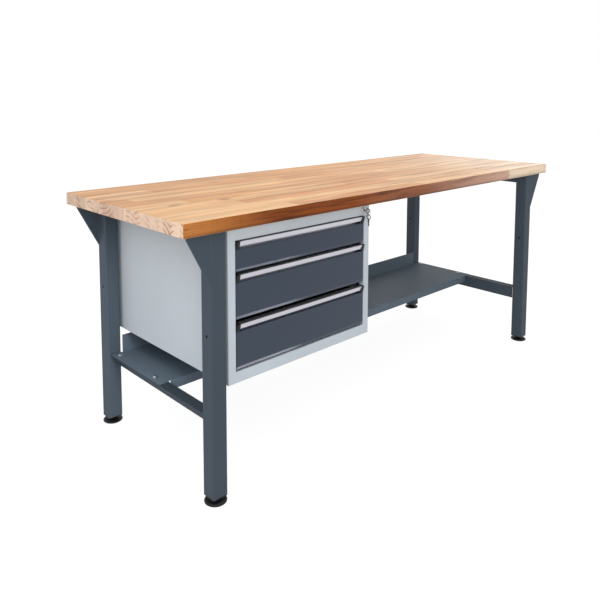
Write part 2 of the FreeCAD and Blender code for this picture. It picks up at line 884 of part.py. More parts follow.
def make_drawer_box(name, low, high, front_top):
    """Open sheet box with a tall front wall and the catch for the locking rod."""
    sheet = S.box_sheet
    rear = FRONT_BACK + S.box_depth
    width = about(CASE_MID, BOX_HALF)
    tray = box(f"{name}_tray", width, (FRONT_BACK, rear), (low, high))
    hollow = box(
        f"{name}_hollow",
        about(CASE_MID, BOX_HALF - sheet),
        (FRONT_BACK + sheet, rear - sheet),
        (low + sheet, high + 1),
    )
    shell = cut(f"{name}_shell", tray, hollow)
    wall = box(f"{name}_front_wall", width, (FRONT_BACK, FRONT_BACK + sheet), (low, front_top))
    catch = box(
        f"{name}_catch",
        (CASE_MID + BOX_HALF, CATCH_TIP),
        (CATCH_FRONT, CATCH_FRONT + S.catch_thick),
        (catch_low(low), catch_low(low) + S.hook_high),
    )
    node(f"{name}_box", fuse(f"{name}_box_joined", shell, wall, catch))


DRAWER_SPLIT_1 = OPEN_TOP - S.drawer_high_top
DRAWER_SPLIT_2 = DRAWER_SPLIT_1 - S.drawer_high_middle
DRAWERS = dict(
    top_drawer=(DRAWER_SPLIT_1, OPEN_TOP, S.reveal_top),
    middle_drawer=(DRAWER_SPLIT_2, DRAWER_SPLIT_1, S.reveal_middle),
    bottom_drawer=(OPEN_LOW, DRAWER_SPLIT_2, S.reveal_bottom),
)


def make_drawer(name, low, high, reveal):
    grip_top = high - reveal
    front_top = grip_top - S.grip_high
    box_low = low + S.box_lift
    make_drawer_front(name, low + S.front_foot_gap, front_top)
    make_grip(name, front_top, grip_top)
    make_drawer_box(name, box_low, high - S.box_drop, grip_top - S.grip_wall)
    make_slides(name, box_low + S.slide_lift + S.slide_high / 2)


FACE_FORWARD = Rotation(Vector(1, 0, 0), 90)
LOCK_FACE = CASE_FRONT - S.lock_flange_thick
LOCK_REAR = CASE_FRONT + S.lock_body_long
KEY_EYE_Y = LOCK_FACE - S.plug_proud - S.key_neck - S.key_bow_dia / 2


def key_shape(label, x, y, z, blade_long, hang):
    """Flat key whose eye lies at (x, y, z); the blade runs back into the lock or hangs down."""
    thick = S.key_thick / 2
    width = S.key_blade_high / 2
    span = about(x, thick)
    bow = cylinder(f"{label}_bow", S.key_bow_dia / 2, span, y, z)
    eye = cylinder(f"{label}_eye", S.key_hole_dia / 2, (span[0] - 1, span[1] + 1), y, z)
    root = S.key_hole_dia / 2 + 1
    if hang:
        blade = box(f"{label}_blade", span, about(y, width), (z - blade_long, z - root))
    else:
        blade = box(f"{label}_blade", span, (y + root, y + blade_long), about(z, width))
    return cut(label, fuse(f"{label}_blank", bow, blade), eye)


def make_lock():
    flange = S.lock_flange_dia / 2
    body = S.lock_body_dia / 2
    bore = S.plug_dia / 2 + S.plug_gap
    barrel = [
        (bore, -S.lock_body_long),
        (body, -S.lock_body_long),
        (body, 0),
        (flange, 0),
        (flange, S.lock_flange_thick - 1),
        (flange - 1, S.lock_flange_thick),
        (bore, S.lock_flange_thick),
    ]
    node(
        "lock_housing", turned("lock_barrel", barrel, LOCK_X, CASE_FRONT, LOCK_Z, FACE_FORWARD)
    )

    plug_radius = S.plug_dia / 2
    tail_radius = S.cam_tail_dia / 2
    tail_end = -S.lock_body_long - S.rod_gap
    core = [
        (0, tail_end - S.cam_thick),
        (tail_radius, tail_end - S.cam_thick),
        (tail_radius, tail_end),
        (plug_radius, tail_end),
        (plug_radius, S.lock_flange_thick + S.plug_proud),
        (0, S.lock_flange_thick + S.plug_proud),
    ]
    core_body = turned("plug_core", core, LOCK_X, CASE_FRONT, LOCK_Z, FACE_FORWARD)
    slot_face = LOCK_FACE - S.plug_proud
    slot = box(
        "plug_keyway",
        about(LOCK_X, S.key_thick / 2 + S.key_gap),
        (slot_face - 1, slot_face + S.key_blade_in + S.key_gap),
        about(LOCK_Z, S.key_blade_high / 2 + S.key_gap),
    )
    node("lock_plug", cut("plug_slotted", core_body, slot))

    cam_face = LOCK_REAR + S.rod_gap
    cam_back = cam_face + S.cam_thick
    pin_x = LOCK_X - S.cam_pin_radius * COS_45
    pin_z = LOCK_Z + S.cam_pin_radius * COS_45
    disc = cylinder("cam_disc", S.cam_dia / 2, LOCK_X, (cam_face, cam_back), LOCK_Z)
    pin_span = (cam_back, ROD_BACK + 1)
    pin = cylinder("cam_pin", S.cam_pin_dia / 2, pin_x, pin_span, pin_z)
    eye_span = (cam_face - 1, cam_back + 1)
    eye = cylinder("cam_eye", tail_radius + S.cam_gap, LOCK_X, eye_span, LOCK_Z)
    node("lock_cam", cut("cam_bored", fuse("cam_blank", disc, pin), eye))

    key_long = S.key_bow_dia / 2 + S.key_neck + S.key_blade_in
    node("lock_key", key_shape("key_cut", LOCK_X, KEY_EYE_Y, LOCK_Z, key_long, False))


def make_locking_rod():
    """Flat upright bar with one hook per drawer and a slot for the cam's pin."""
    depth = (ROD_FRONT, ROD_BACK)
    left = CASE_RIGHT - S.stile_width + S.rod_left
    right = CASE_RIGHT - S.case_sheet - S.rod_gap
    height = (CASE_LOW + S.case_sheet + S.rod_lift, TOP_UNDER - S.rod_head)
    bar = box("rod_bar", (left, right), depth, height)
    hooks = []
    for name, (low, _, _) in DRAWERS.items():
        rest = catch_low(low + S.box_lift) + S.hook_high + S.hook_rise
        hook_z = (rest, rest + S.hook_high)
        hooks.append(box(f"rod_hook_{name}", (HOOK_TIP, left), depth, hook_z))
    reach = S.cam_pin_dia / 2 + S.slot_gap
    pin_side = LOCK_X - S.cam_pin_radius * COS_45
    pin_rest = LOCK_Z + S.cam_pin_radius * COS_45
    slot_x = (LOCK_X - S.cam_pin_radius - reach, pin_side + reach)
    slot_z = about(pin_rest, reach)
    arm_z = about(pin_rest, reach + S.rod_thick)
    arm = box("rod_arm", (slot_x[0] - S.rod_thick, right), depth, arm_z)
    slot = box("rod_slot", slot_x, (ROD_FRONT - 1, ROD_BACK + 1), slot_z)
    node("locking_rod", cut("rod_slotted", fuse("rod_blank", bar, arm, *hooks), slot))


def make_key_ring():
    ring = DOC.addObject("Part::Torus", "ring_wire")
    ring.Placement = Placement(Vector(), Rotation(Vector(1, 0, 0), 90))
    bind(ring, "Radius1", S.ring_radius)
    bind(ring, "Radius2", S.ring_wire_dia / 2)
    ring_x = LOCK_X + S.ring_radius * COS_45 - S.ring_lead
    ring_z = LOCK_Z - S.ring_radius * COS_45 + S.ring_lead
    place(ring, x=ring_x, y=KEY_EYE_Y, z=ring_z)
    node("key_ring", ring)
    hang = (S.key_hole_dia - S.ring_wire_dia) / 2 - S.ring_gap
    spare_eye = ring_z - S.ring_radius - hang
    spare_long = S.key_bow_dia / 2 + S.key_neck + S.key_blade_in
    node("spare_key", key_shape("spare_cut", ring_x, KEY_EYE_Y, spare_eye, spare_long, True))


make_worktop()
for side in SIDES:
    for end in ENDS:
        make_leg(side, end)
        make_foot(side, end)
    gussets = [make_gusset(side, end) for end in ENDS]
    node(f"{SIDES[side]}_gussets", together(f"{SIDES[side]}_gusset_pair", gussets))
    make_top_rail(side)
    make_crossbar(side)
inserts = [make_insert(side, end) for side in SIDES for end in ENDS]
node("leg_end_inserts", together("insert_set", inserts))
make_shelf()
make_shelf_fasteners()
make_case()
for name, (low, high, reveal) in DRAWERS.items():
    make_drawer(name, low, high, reveal)
make_lock()
make_locking_rod()
make_key_ring()
DOC.recompute()

for thing in DOC.Objects:
    troubles = {"Invalid", "Error"} & set(thing.State)
    if troubles:
        raise RuntimeError(f"{thing.Label} did not recompute: {sorted(troubles)}")
os.makedirs("parts", exist_ok=True)
for label, thing in NODES.items():
    shape = thing.Shape
    if shape.isNull() or not shape.isValid():
        raise RuntimeError(f"{label} has no valid shape")
    shape.exportStep(f"parts/{label}.step")
print(f"{len(NODES)} nodes written")
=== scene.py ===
"""Workbench with drawer unit: finishes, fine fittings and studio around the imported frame."""

import math
from functools import cache

import bmesh
import bpy
from bpy.props import FloatProperty, FloatVectorProperty, IntProperty, PointerProperty
from mathutils import Matrix, Vector


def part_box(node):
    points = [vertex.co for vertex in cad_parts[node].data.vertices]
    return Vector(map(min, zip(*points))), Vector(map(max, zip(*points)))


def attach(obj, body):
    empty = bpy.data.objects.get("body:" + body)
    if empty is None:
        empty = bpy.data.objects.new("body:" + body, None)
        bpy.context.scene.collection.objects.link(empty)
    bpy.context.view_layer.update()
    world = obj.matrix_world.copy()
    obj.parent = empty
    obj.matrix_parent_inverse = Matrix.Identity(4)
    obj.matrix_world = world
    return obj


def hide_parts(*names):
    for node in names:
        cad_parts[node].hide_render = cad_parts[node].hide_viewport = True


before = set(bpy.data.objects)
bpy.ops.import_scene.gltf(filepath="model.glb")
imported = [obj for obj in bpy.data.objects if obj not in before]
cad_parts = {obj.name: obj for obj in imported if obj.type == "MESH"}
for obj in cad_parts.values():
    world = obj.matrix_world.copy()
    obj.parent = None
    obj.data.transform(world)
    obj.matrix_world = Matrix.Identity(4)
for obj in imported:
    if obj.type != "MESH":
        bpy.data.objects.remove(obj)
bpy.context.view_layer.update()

bl_info = {
    "name": "Workbench Finishes",
    "version": (1, 0, 0),
    "blender": (4, 5, 0),
    "location": "3D View > Sidebar > Workbench",
    "description": "Gives the workbench its finishes, fine fittings and studio",
    "category": "Object",
}

MM = 0.001
WHITE = (1.0, 1.0, 1.0)

# Node trees: spacing and socket types.
NODE_STEP = 220
FLOAT = "NodeSocketFloat"
COLOUR = "NodeSocketColor"
VECTOR = "NodeSocketVector"

# Meshes: merging distance, sharp and bevelled edges, steps of turned shapes.
MERGE = 1e-6
SHARP = math.radians(35)
KEY_RIM_ANGLE = math.radians(75)
BOLT_STEPS = 24
THREAD_STEPS = 24
BOW_STEPS = 40
EYE_STEPS = 32
RING_STEPS = 96
WIRE_SIDES = 10
BEAD_SIDES = 8

# CAD nodes that take one finish together.
LEGS = ("left_front", "left_rear", "right_front", "right_rear")
SIDES = ("left", "right")
DRAWERS = ("top_drawer", "middle_drawer", "bottom_drawer")
FRAME_NODES = [f"{leg}_leg" for leg in LEGS] + [
    f"{side}_{piece}" for side in SIDES for piece in ("gussets", "top_rail", "crossbar")
]
CASE_NODES = [
    f"case_{piece}_panel" for piece in ("left", "right", "top", "bottom", "back")
] + ["case_front_frame"]

# Foot: share of its radius and height in millimetres, from the middle of the sole round to the top.
FOOT_OUTLINE = (
    (0.0, 0.8), (0.62, 0.8), (0.7, 0.0), (0.953, 0.0),
    (1.0, 1.5), (1.0, 5.0), (0.98, 6.1), (0.92, 7.2), (0.87, 7.8),
    (0.84, 7.5), (0.62, 9.0), (0.46, 10.6), (0.43, 11.6), (0.0, 11.6),
)

# Foot's rim: least share of the radius and steepest tilt of its faces, and margin of the slots in them.
RIM_INSIDE = 0.985
RIM_TILT = 0.1
RIB_INSET = 0.3 * MM

# Foot's hub and stem, from the sole up.
HUB_RADIUS = 13 * MM
HUB_LOW = 11.4 * MM
HUB_TOP = 19 * MM
HUB_EDGE = 0.7 * MM
STEM_RADIUS = 6 * MM
STEM_SUNK = 0.5 * MM

# Foot screw: shares of the pitch for the depth of the tooth and the two ends of its crest.
TOOTH_DEPTH = 0.6
TOOTH_CREST = (0.44, 0.56)

# Fasteners: shank radius, height of the head and whether the head is up.
BOLT_KINDS = {
    "shelf_bolts": (4.0 * MM, 4.4 * MM, True),
    "worktop_screws": (3.0 * MM, 3.5 * MM, False),
    "case_screws": (3.0 * MM, 3.5 * MM, False),
}

# Bolt: head radius that the socket suits, chamfer of the tip, and button head in shares of its size.
BOLT_HEAD = 7 * MM
BOLT_TIP = (0.6 * MM, 0.8 * MM)
BUTTON_HEAD = ((1.0, 0.5), (0.93, 0.78), (0.8, 0.93), (0.66, 1.0))
SOCKET_RING = 0.66

# Key blade: shares of the way from bow to tip and of its half width, along its back and then its cuts.
KEY_BLADE = 6 * MM
KEY_EYE = 12 * MM
KEY_CUTS = (
    (0.93, -1.0), (1.0, -0.35), (1.0, 0.1), (0.92, 0.5),
    (0.86, 0.3), (0.8, 0.3), (0.76, 0.75), (0.7, 0.75),
    (0.65, 0.2), (0.58, 0.2), (0.53, 0.6), (0.47, 0.6),
    (0.42, 0.35), (0.36, 0.35), (0.29, 1.0),
)

# Split ring: turns of its wire and how flat the wire is.
RING_TURNS = 1.94
RING_FLAT = 0.48

# Welds: swell of the ripples, thin ends, and how the beads lie on the plates and bars.
RIPPLE = 1.06
BEAD_END = 0.7
GUSSET_THICK = 6 * MM
SEAM_FROM_BOTTOM = 4 * MM
SEAM_FROM_TOP = 2 * MM
SEAM_INSIDE_LEG = 1.0 * MM
SEAM_BEHIND_FACE = 1.1 * MM
BAR_SEAM = (6 * MM, 38 * MM)
BAR_SEAM_RISE = 0.3 * MM

# Worktop: Y where the painted sheen on its right end is weakest and full, and heights of the dark foot
# of its edges.
SHEEN_SPAN = (0.3, -0.22)
DARK_FOOT = (13 * MM, 2 * MM)

# Growth rings: how far their hearts spread across and up, and how far they wander.
HEART_SPREAD = (90 * MM, 160 * MM)
RING_WANDER = 14 * MM

# Photograph: its side and focal length in pixels, and the camera's sensor in millimetres.
PHOTO_SIDE = 600
PHOTO_FOCAL = 634.8
SENSOR = 36.0

# Studio, in metres: place and side of each lamp, and place, width and depth of each drawer's strip.
LAMP_AIM = (-0.2, 0.0, 0.5)
LAMPS = {
    "key": ((-3.4, -1.4, 2.6), 2.4),
    "top": ((0.4, -0.6, 3.4), 2.6),
    "fill": ((-2.6, -2.8, 1.3), 1.6),
}
BAY_PLACE = (-1.25, -1.3, 1.35)
BAY_AIM = (-0.9, 0.1, 0.3)
BAY_SIDE = 0.6
STRIP_HIGH = 30 * MM
STRIPS = {
    "top_drawer": (-0.06, -0.83, 0.4, 0.12),
    "middle_drawer": (-0.25, -0.655, 0.36, 0.1),
    "bottom_drawer": (-0.42, -0.515, 0.34, 0.09),
}


def srgb(red, green, blue):
    """Scene colour of a screen colour given in 0 to 255."""
    linear = []
    for channel in (red, green, blue):
        level = channel / 255
        dark = level <= 0.04045
        linear.append(level / 12.92 if dark else ((level + 0.055) / 1.055) ** 2.4)
    return tuple(linear)


def colour(name, description, red, green, blue):
    return FloatVectorProperty(
        name=name,
        description=description,
        subtype="COLOR",
        size=3,
        min=0.0,
        max=1.0,
        default=srgb(red, green, blue),
    )


def length(name, description, millimetres):
    return FloatProperty(
        name=name,
        description=description,
        unit="LENGTH",
        min=0.0,
        default=millimetres * MM,
        precision=5,
    )


def share(name, description, part):
    return FloatProperty(
        name=name, description=description, subtype="FACTOR", min=0.0, max=1.0, default=part
    )


def amount(name, description, value):
    return FloatProperty(name=name, description=description, min=0.0, default=value)


def angle(name, description, degrees):
    turned = math.radians(degrees)
    return FloatProperty(name=name, description=description, subtype="ANGLE", default=turned)


def power(name, description, watts):
    return FloatProperty(name=name, description=description, unit="POWER", min=0.0, default=watts)


class WorktopFinish(bpy.types.PropertyGroup):
    """Colours and stave sizes of the glued wooden worktop."""

    honey: colour("Honey", "Usual colour of a stave", 212, 154, 94)
    pale: colour("Pale", "Colour of the sapwood staves", 230, 184, 130)
    rosy: colour("Rosy", "Colour of the heartwood staves", 202, 140, 84)
    cream: colour("Cream", "Colour of the light streaks", 246, 220, 186)
    # Painted sheen: the top's right end, most of all towards the front, is paled to stand for the
    # grazing reflection of the white surroundings.
    painted_sheen: colour("Painted sheen", "Colour of the staves towards the right end", 240, 206, 168)
    painted_glare: colour("Painted glare", "Colour of the top close to its right end", 250, 230, 206)
    late_wood: colour("Late wood", "Colour of the dark growth lines", 140, 76, 34)
    knot: colour("Knot", "Colour of the small knots", 132, 70, 36)
    end_grain: colour("End grain", "Colour of the sawn ends", 232, 204, 182)
    heart_mark: colour("Heart mark", "Colour of the red marks in the sawn ends", 140, 62, 40)
    # Long edges: partly the staves' own tones, partly painted shade that keeps the upright edges darker
    # than the top.
    edge_left: colour("Edge, left", "Long edge at the left", 190, 122, 62)
    edge_middle: colour("Edge, middle", "Long edge left of the middle", 128, 63, 18)
    edge_red: colour("Edge, red", "Long edge right of the middle", 146, 88, 57)
    edge_rose: colour("Edge, rose", "Long edge further right", 212, 172, 150)
    edge_right: colour("Edge, right", "Long edge in its last stave", 246, 222, 192)
    stave_width: length("Stave width", "Width of one glued stave", 62)
    stave_length: length("Stave length", "Usual length between the butt joints of a stave", 620)
    ring_pitch: length("Ring pitch", "Distance between growth rings", 5.0)
    grain_depth: length("Grain depth", "Height of the raised grain", 0.12)
    roughness: share("Roughness", "Roughness of the oiled surface", 0.4)
    shine: share("Shine", "Strength of the oil's reflection", 0.14)


class PaintFinish(bpy.types.PropertyGroup):
    """Powder coats of the frame, the case and the drawers."""

    frame_colour: colour("Frame", "Powder coat of legs and rails", 64, 74, 84)
    drawer_colour: colour("Drawers", "Powder coat of the drawer fronts", 44, 56, 72)
    # Painted light: the shelf is coloured lighter and bluer than the frame to lift the shade under the
    # top and cancel the wood's warm bounce light.
    shelf_lightened_colour: colour("Shelf", "Powder coat of the shelf, a little lighter", 79, 91, 102)
    box_colour: colour("Drawer boxes", "Powder coat inside the drawers", 60, 66, 74)
    case_colour: colour("Case", "Powder coat of the drawer case", 190, 198, 205)
    matt_shine: share("Matt shine", "Strength of the matt coat's reflection", 0.16)
    matt_roughness: share("Matt roughness", "Roughness of the matt coat", 0.56)
    gloss_shine: share("Gloss shine", "Strength of the drawer fronts' reflection", 0.34)
    gloss_roughness: share("Gloss roughness", "Roughness of the smoother drawer fronts", 0.18)
    peel_depth: length("Peel depth", "Height of the orange peel", 0.05)
    # Pale edges: partly the thin coat's wear, partly a painted highlight along the rounded edges.
    thin_coat_and_highlight: colour("Thin coat", "Colour that shows through on edges", 206, 209, 212)
    edge_width: length("Edge width", "Width of the thin coat along edges", 1.2)
    edge_wear_and_highlight: share("Edge light", "How much of the thin coat shows on edges", 0.18)
    drift: share("Drift", "Slow change of shade over a panel", 0.05)


class MetalFinish(bpy.types.PropertyGroup):
    """Bare and plated metals."""

    aluminium: colour("Aluminium", "Anodised grip strips", 205, 204, 212)
    zinc: colour("Zinc", "Plated bolts, screws and slides", 178, 182, 188)
    straw: colour("Straw", "Warm bloom on the zinc", 196, 188, 160)
    chrome: colour("Chrome", "Lock barrel", 180, 178, 178)
    nickel: colour("Nickel", "Keys and their ring", 134, 129, 121)


class PlasticFinish(bpy.types.PropertyGroup):
    """Black moulded feet, inserts and grip caps."""

    black: colour("Black", "Moulded plastic", 20, 21, 24)
    scuff: colour("Scuff", "Rubbed edges of the plastic", 149, 149, 151)
    roughness: share("Roughness", "Roughness of the moulded skin", 0.46)
    shine: share("Shine", "Strength of the moulded skin's reflection", 0.28)
    grain_depth: length("Grain depth", "Height of the spark-eroded grain", 0.03)


class FittingSizes(bpy.types.PropertyGroup):
    """Fine sizes of the feet, bolts, keys and welds."""

    rim_ribs: IntProperty(name="Rim ribs", description="Ribs round a foot's rim", min=6, default=36)
    rib_depth: length("Rib depth", "Depth of the slots between the ribs of a foot", 0.8)
    thread_pitch: length("Thread pitch", "Rise of the foot screw in one turn", 1.75)
    socket_across: length("Socket", "Hexagon socket of a bolt, across its flats", 5.0)
    socket_depth: length("Socket depth", "Depth of that socket", 2.6)
    key_edge: length("Key edge", "Bevel round the faces of a key", 0.2)
    bead: length("Weld bead", "Radius of a weld bead", 2.0)
    seam_bead: length("Seam bead", "Radius of the dressed bead in a seam", 1.7)
    bead_step: length("Bead step", "Distance between the ripples of a bead", 2.5)


class StudioSettings(bpy.types.PropertyGroup):
    """Camera, lamps and floor."""

    eye: FloatVectorProperty(
        name="Camera place",
        description="Where the camera stands",
        subtype="TRANSLATION",
        size=3,
        default=(-1.878, -1.692, 1.152),
    )
    yaw: angle("Yaw", "Turn of the camera from straight ahead to the right", 42.65)
    pitch: angle("Pitch", "Downward tilt of the camera", 5.35)
    focal: FloatProperty(
        name="Focal length",
        description="Focal length in picture widths",
        default=PHOTO_FOCAL / PHOTO_SIDE,
    )
    shift: FloatVectorProperty(
        name="Shift",
        description="Shift of the picture in its widths",
        size=2,
        default=(0.0217, -0.247),
    )
    key_power: power("Key lamp", "Power of the soft lamp on the left", 34.0)
    top_power: power("Top lamp", "Power of the soft lamp overhead", 40.0)
    fill_power: power("Fill lamp", "Power of the soft lamp beside the camera", 24.0)
    bay_power: power("Bay lamp", "Power of the lamp for the shade under the top's left end", 34.0)
    strip_glow: amount("Strip lamps", "Radiance of the strips that the drawer fronts mirror", 5.4)
    strip_colour: colour("Strip colour", "Tint of those strips", 244, 244, 255)
    sky: amount("Sky", "Strength of the even light from all sides", 0.62)
    floor_side: length("Floor", "Side of the square floor", 24000)
    floor_colour: colour("Floor colour", "Pale floor", 236, 237, 238)
    floor_glow: share("Floor glow", "Plain white that the floor shows in the picture", 0.9)
    shadow_depth: share("Shadow depth", "How strongly the picture shows the shadow", 0.2)


class BenchLook(bpy.types.PropertyGroup):
    """All settings of the workbench."""

    worktop: PointerProperty(type=WorktopFinish)
    paint: PointerProperty(type=PaintFinish)
    metal: PointerProperty(type=MetalFinish)
    plastic: PointerProperty(type=PlasticFinish)
    fittings: PointerProperty(type=FittingSizes)
    studio: PointerProperty(type=StudioSettings)


class Signal:
    """A number on its way through a node tree; arithmetic on it adds Math nodes."""

    def __init__(self, graph, socket):
        self.graph = graph
        self.socket = socket

    def __add__(self, other):
        return self.graph.math("ADD", self, other)

    def __sub__(self, other):
        return self.graph.math("SUBTRACT", self, other)

    def __mul__(self, other):
        return self.graph.math("MULTIPLY", self, other)

    def __truediv__(self, other):
        return self.graph.math("DIVIDE", self, other)

    def floor(self):
        return self.graph.math("FLOOR", self)

    def fraction(self):
        return self.graph.math("FRACT", self)

    def size(self):
        return self.graph.math("ABSOLUTE", self)

    def ramp(self, low, high, start=0.0, end=1.0, easing="SMOOTHSTEP"):
        """This number taken from low..high to start..end, clamped."""
        node = self.graph.add(
            "ShaderNodeMapRange",
            {"Value": self, "From Min": low, "From Max": high, "To Min": start, "To Max": end},
            interpolation_type=easing,
        )
        return Signal(self.graph, node.outputs["Result"])


class Graph:
    """Adds the nodes and links of one material or node group from left to right."""

    def __init__(self, tree):
        self.tree = tree

    def feed(self, socket, value):
        if isinstance(value, Signal):
            value = value.socket
        if isinstance(value, bpy.types.NodeSocket):
            self.tree.links.new(value, socket)
        elif socket.type == "RGBA" and len(value) == 3:
            socket.default_value = (*value, 1.0)
        else:
            socket.default_value = value

    def add(self, kind, inputs=None, **settings):
        node = self.tree.nodes.new(kind)
        node.location.x = NODE_STEP * len(self.tree.nodes)
        for name, value in settings.items():
            setattr(node, name, value)
        for name, value in (inputs or {}).items():
            self.feed(node.inputs[name], value)
        return node

    def math(self, operation, *values):
        node = self.add("ShaderNodeMath", dict(enumerate(values)), operation=operation)
        return Signal(self, node.outputs[0])

    def object_place(self):
        return self.add("ShaderNodeTexCoord").outputs["Object"]

    def split(self, vector):
        node = self.add("ShaderNodeSeparateXYZ", {"Vector": vector})
        return [Signal(self, socket) for socket in node.outputs]

    def join(self, x, y, z):
        return self.add("ShaderNodeCombineXYZ", {"X": x, "Y": y, "Z": z}).outputs[0]

    def mapped(self, vector, scale, turn=(0.0, 0.0, 0.0)):
        node = self.add("ShaderNodeMapping", {"Vector": vector, "Scale": scale, "Rotation": turn})
        return node.outputs[0]

    def noise(self, vector, scale, detail=2.0, roughness=0.5):
        node = self.add(
            "ShaderNodeTexNoise",
            {"Vector": vector, "Scale": scale, "Detail": detail, "Roughness": roughness},
        )
        return Signal(self, node.outputs[0])

    def spots(self, vector):
        """Distance to the nearest of scattered points, and a random number for that point."""
        node = self.add("ShaderNodeTexVoronoi", {"Vector": vector, "Scale": 1.0})
        return Signal(self, node.outputs["Distance"]), self.split(node.outputs["Color"])[0]

    def random(self, vector):
        """Three steady random numbers for each value of a vector."""
        node = self.add("ShaderNodeTexWhiteNoise", {"Vector": vector}, noise_dimensions="3D")
        return self.split(node.outputs["Color"])

    def mix(self, share_of_second, first, second, blend="MIX"):
        node = self.add(
            "ShaderNodeMix",
            {0: share_of_second, 6: first, 7: second},
            data_type="RGBA",
            blend_type=blend,
        )
        return node.outputs[2]

    def layered(self, tint, *layers):
        """A colour with others laid over it, each given as its share and colour."""
        for share_of_layer, layer in layers:
            tint = self.mix(share_of_layer, tint, layer)
        return tint

    def scaled(self, vector, value):
        """A vector or colour with each channel times a number."""
        node = self.add("ShaderNodeVectorMath", {0: vector, "Scale": value}, operation="SCALE")
        return node.outputs[0]

    def bump(self, height, depth, normal):
        inputs = {"Height": height, "Distance": depth, "Strength": 1.0, "Normal": normal}
        return self.add("ShaderNodeBump", inputs).outputs[0]

    def group(self, tree, **inputs):
        node = self.add("ShaderNodeGroup", node_tree=tree)
        for name, value in inputs.items():
            self.feed(node.inputs[name.capitalize()], value)
        return node.outputs

    def surface(self, **inputs):
        """Principled shader of a material, joined to its output."""
        shader = self.add("ShaderNodeBsdfPrincipled")
        for name, value in inputs.items():
            self.feed(shader.inputs[name.replace("_", " ")], value)
        self.add("ShaderNodeOutputMaterial", {"Surface": shader.outputs[0]})


def new_material(name):
    material = bpy.data.materials.new(name)
    material.use_nodes = True
    material.node_tree.nodes.clear()
    return material, Graph(material.node_tree)


def new_group(name, inputs, outputs):
    """Empty node group with inputs and outputs given as name and socket type."""
    tree = bpy.data.node_groups.new(name, "ShaderNodeTree")
    for label, kind in inputs.items():
        tree.interface.new_socket(label, in_out="INPUT", socket_type=kind)
    for label, kind in outputs.items():
        tree.interface.new_socket(label, in_out="OUTPUT", socket_type=kind)
    graph = Graph(tree)
    entry = graph.add("NodeGroupInput")
    return tree, graph, entry.outputs


def close_group(graph, **outputs):
    named = {name.capitalize(): value for name, value in outputs.items()}
    graph.add("NodeGroupOutput", named)


def edge_group():
    """Mask that is 1 on outer edges of a piece, and its softened normal."""
    tree, g, entry = new_group("worn_edges", {"Width": FLOAT}, {"Mask": FLOAT, "Normal": VECTOR})
    rounded = g.add("ShaderNodeBevel", {"Radius": entry["Width"]}, samples=6).outputs[0]
    facing = g.add("ShaderNodeNewGeometry").outputs["Normal"]
    agree = g.add("ShaderNodeVectorMath", {0: rounded, 1: facing}, operation="DOT_PRODUCT")
    apart = g.math("SUBTRACT", 1.0, agree.outputs["Value"])
    patchy = g.noise(g.object_place(), 60.0, 3.0)
    mask = apart.ramp(0.02, 0.22) * patchy.ramp(0.3, 0.7, 0.35, 1.0)
    close_group(g, mask=mask, normal=rounded)
    return tree


def coat_group():
    """Cured powder coat: orange peel, fine speckle and slow drift of shade."""
    tree, g, entry = new_group(
        "powder_coat",
        {"Tint": COLOUR, "Drift": FLOAT, "Roughness": FLOAT},
        {"Colour": COLOUR, "Roughness": FLOAT, "Height": FLOAT},
    )
    place = g.object_place()
    peel = g.noise(place, 420.0, 2.0)
    pimple = g.noise(place, 1500.0, 1.0)
    cloud = g.noise(place, 2.2, 4.0, 0.6)
    smear = g.noise(place, 14.0, 4.0, 0.65)
    shade = g.math("MULTIPLY", cloud - 0.5, entry["Drift"]) * 4.0
    speckle = (pimple - 0.5) * 0.1
    tint = g.scaled(entry["Tint"], shade + speckle + 1.0)
    rough = g.math("ADD", (smear - 0.5) * 0.16, entry["Roughness"]) + (peel - 0.5) * 0.06
    close_group(g, colour=tint, roughness=rough, height=peel * 0.75 + pimple * 0.25)
    return tree


def scratch_group():
    """Fine straight scratches along X, and a smudge mask."""
    tree, g, entry = new_group(
        "fine_scratches", {"Vector": VECTOR, "Scale": FLOAT}, {"Lines": FLOAT, "Smudge": FLOAT}
    )
    fine = g.scaled(entry["Vector"], entry["Scale"])
    long_lines = g.mapped(fine, (0.02, 1.0, 1.0))
    lines = g.noise(long_lines, 1.0, 3.0, 0.7)
    smudge = g.noise(entry["Vector"], 35.0, 4.0, 0.6)
    close_group(g, lines=lines, smudge=smudge)
    return tree


@cache
def shared(maker):
    """A node group, made on its first use."""
    return maker()


@cache
def material_of(finish):
    """The material that a finish's function makes from the settings, made on its first use."""
    return finish(bpy.context.scene.bench_look)


def painted(name, paint, tint, roughness, shine):
    """Powder-coated steel with thin pale edges, partly worn coat and partly painted highlight."""
    material, g = new_material(name)
    powder = g.group(shared(coat_group), tint=tint, drift=paint.drift, roughness=roughness)
    edge = g.group(shared(edge_group), width=paint.edge_width)
    # Pale edges: partly thin coat, partly painted highlight.
    worn_and_highlit = Signal(g, edge["Mask"]) * paint.edge_wear_and_highlight
    g.surface(
        Base_Color=g.mix(worn_and_highlit, powder["Colour"], paint.thin_coat_and_highlight),
        Roughness=powder["Roughness"],
        Specular_IOR_Level=shine,
        Normal=g.bump(powder["Height"], paint.peel_depth, edge["Normal"]),
    )
    return material


def matt(name, paint, tint):
    return painted(name, paint, tint, paint.matt_roughness, paint.matt_shine)


def frame_paint(look):
    return matt("anthracite_coat", look.paint, look.paint.frame_colour)


# Painted light: the shelf's lighter, bluer coat lifts its shade.
def lightened_shelf_paint(look):
    return matt("shelf_coat", look.paint, look.paint.shelf_lightened_colour)


def drawer_paint(look):
    paint = look.paint
    gloss = (paint.gloss_roughness, paint.gloss_shine)
    return painted("drawer_coat", paint, paint.drawer_colour, *gloss)


def box_paint(look):
    return matt("drawer_box_coat", look.paint, look.paint.box_colour)


def case_paint(look):
    return matt("light_grey_coat", look.paint, look.paint.case_colour)


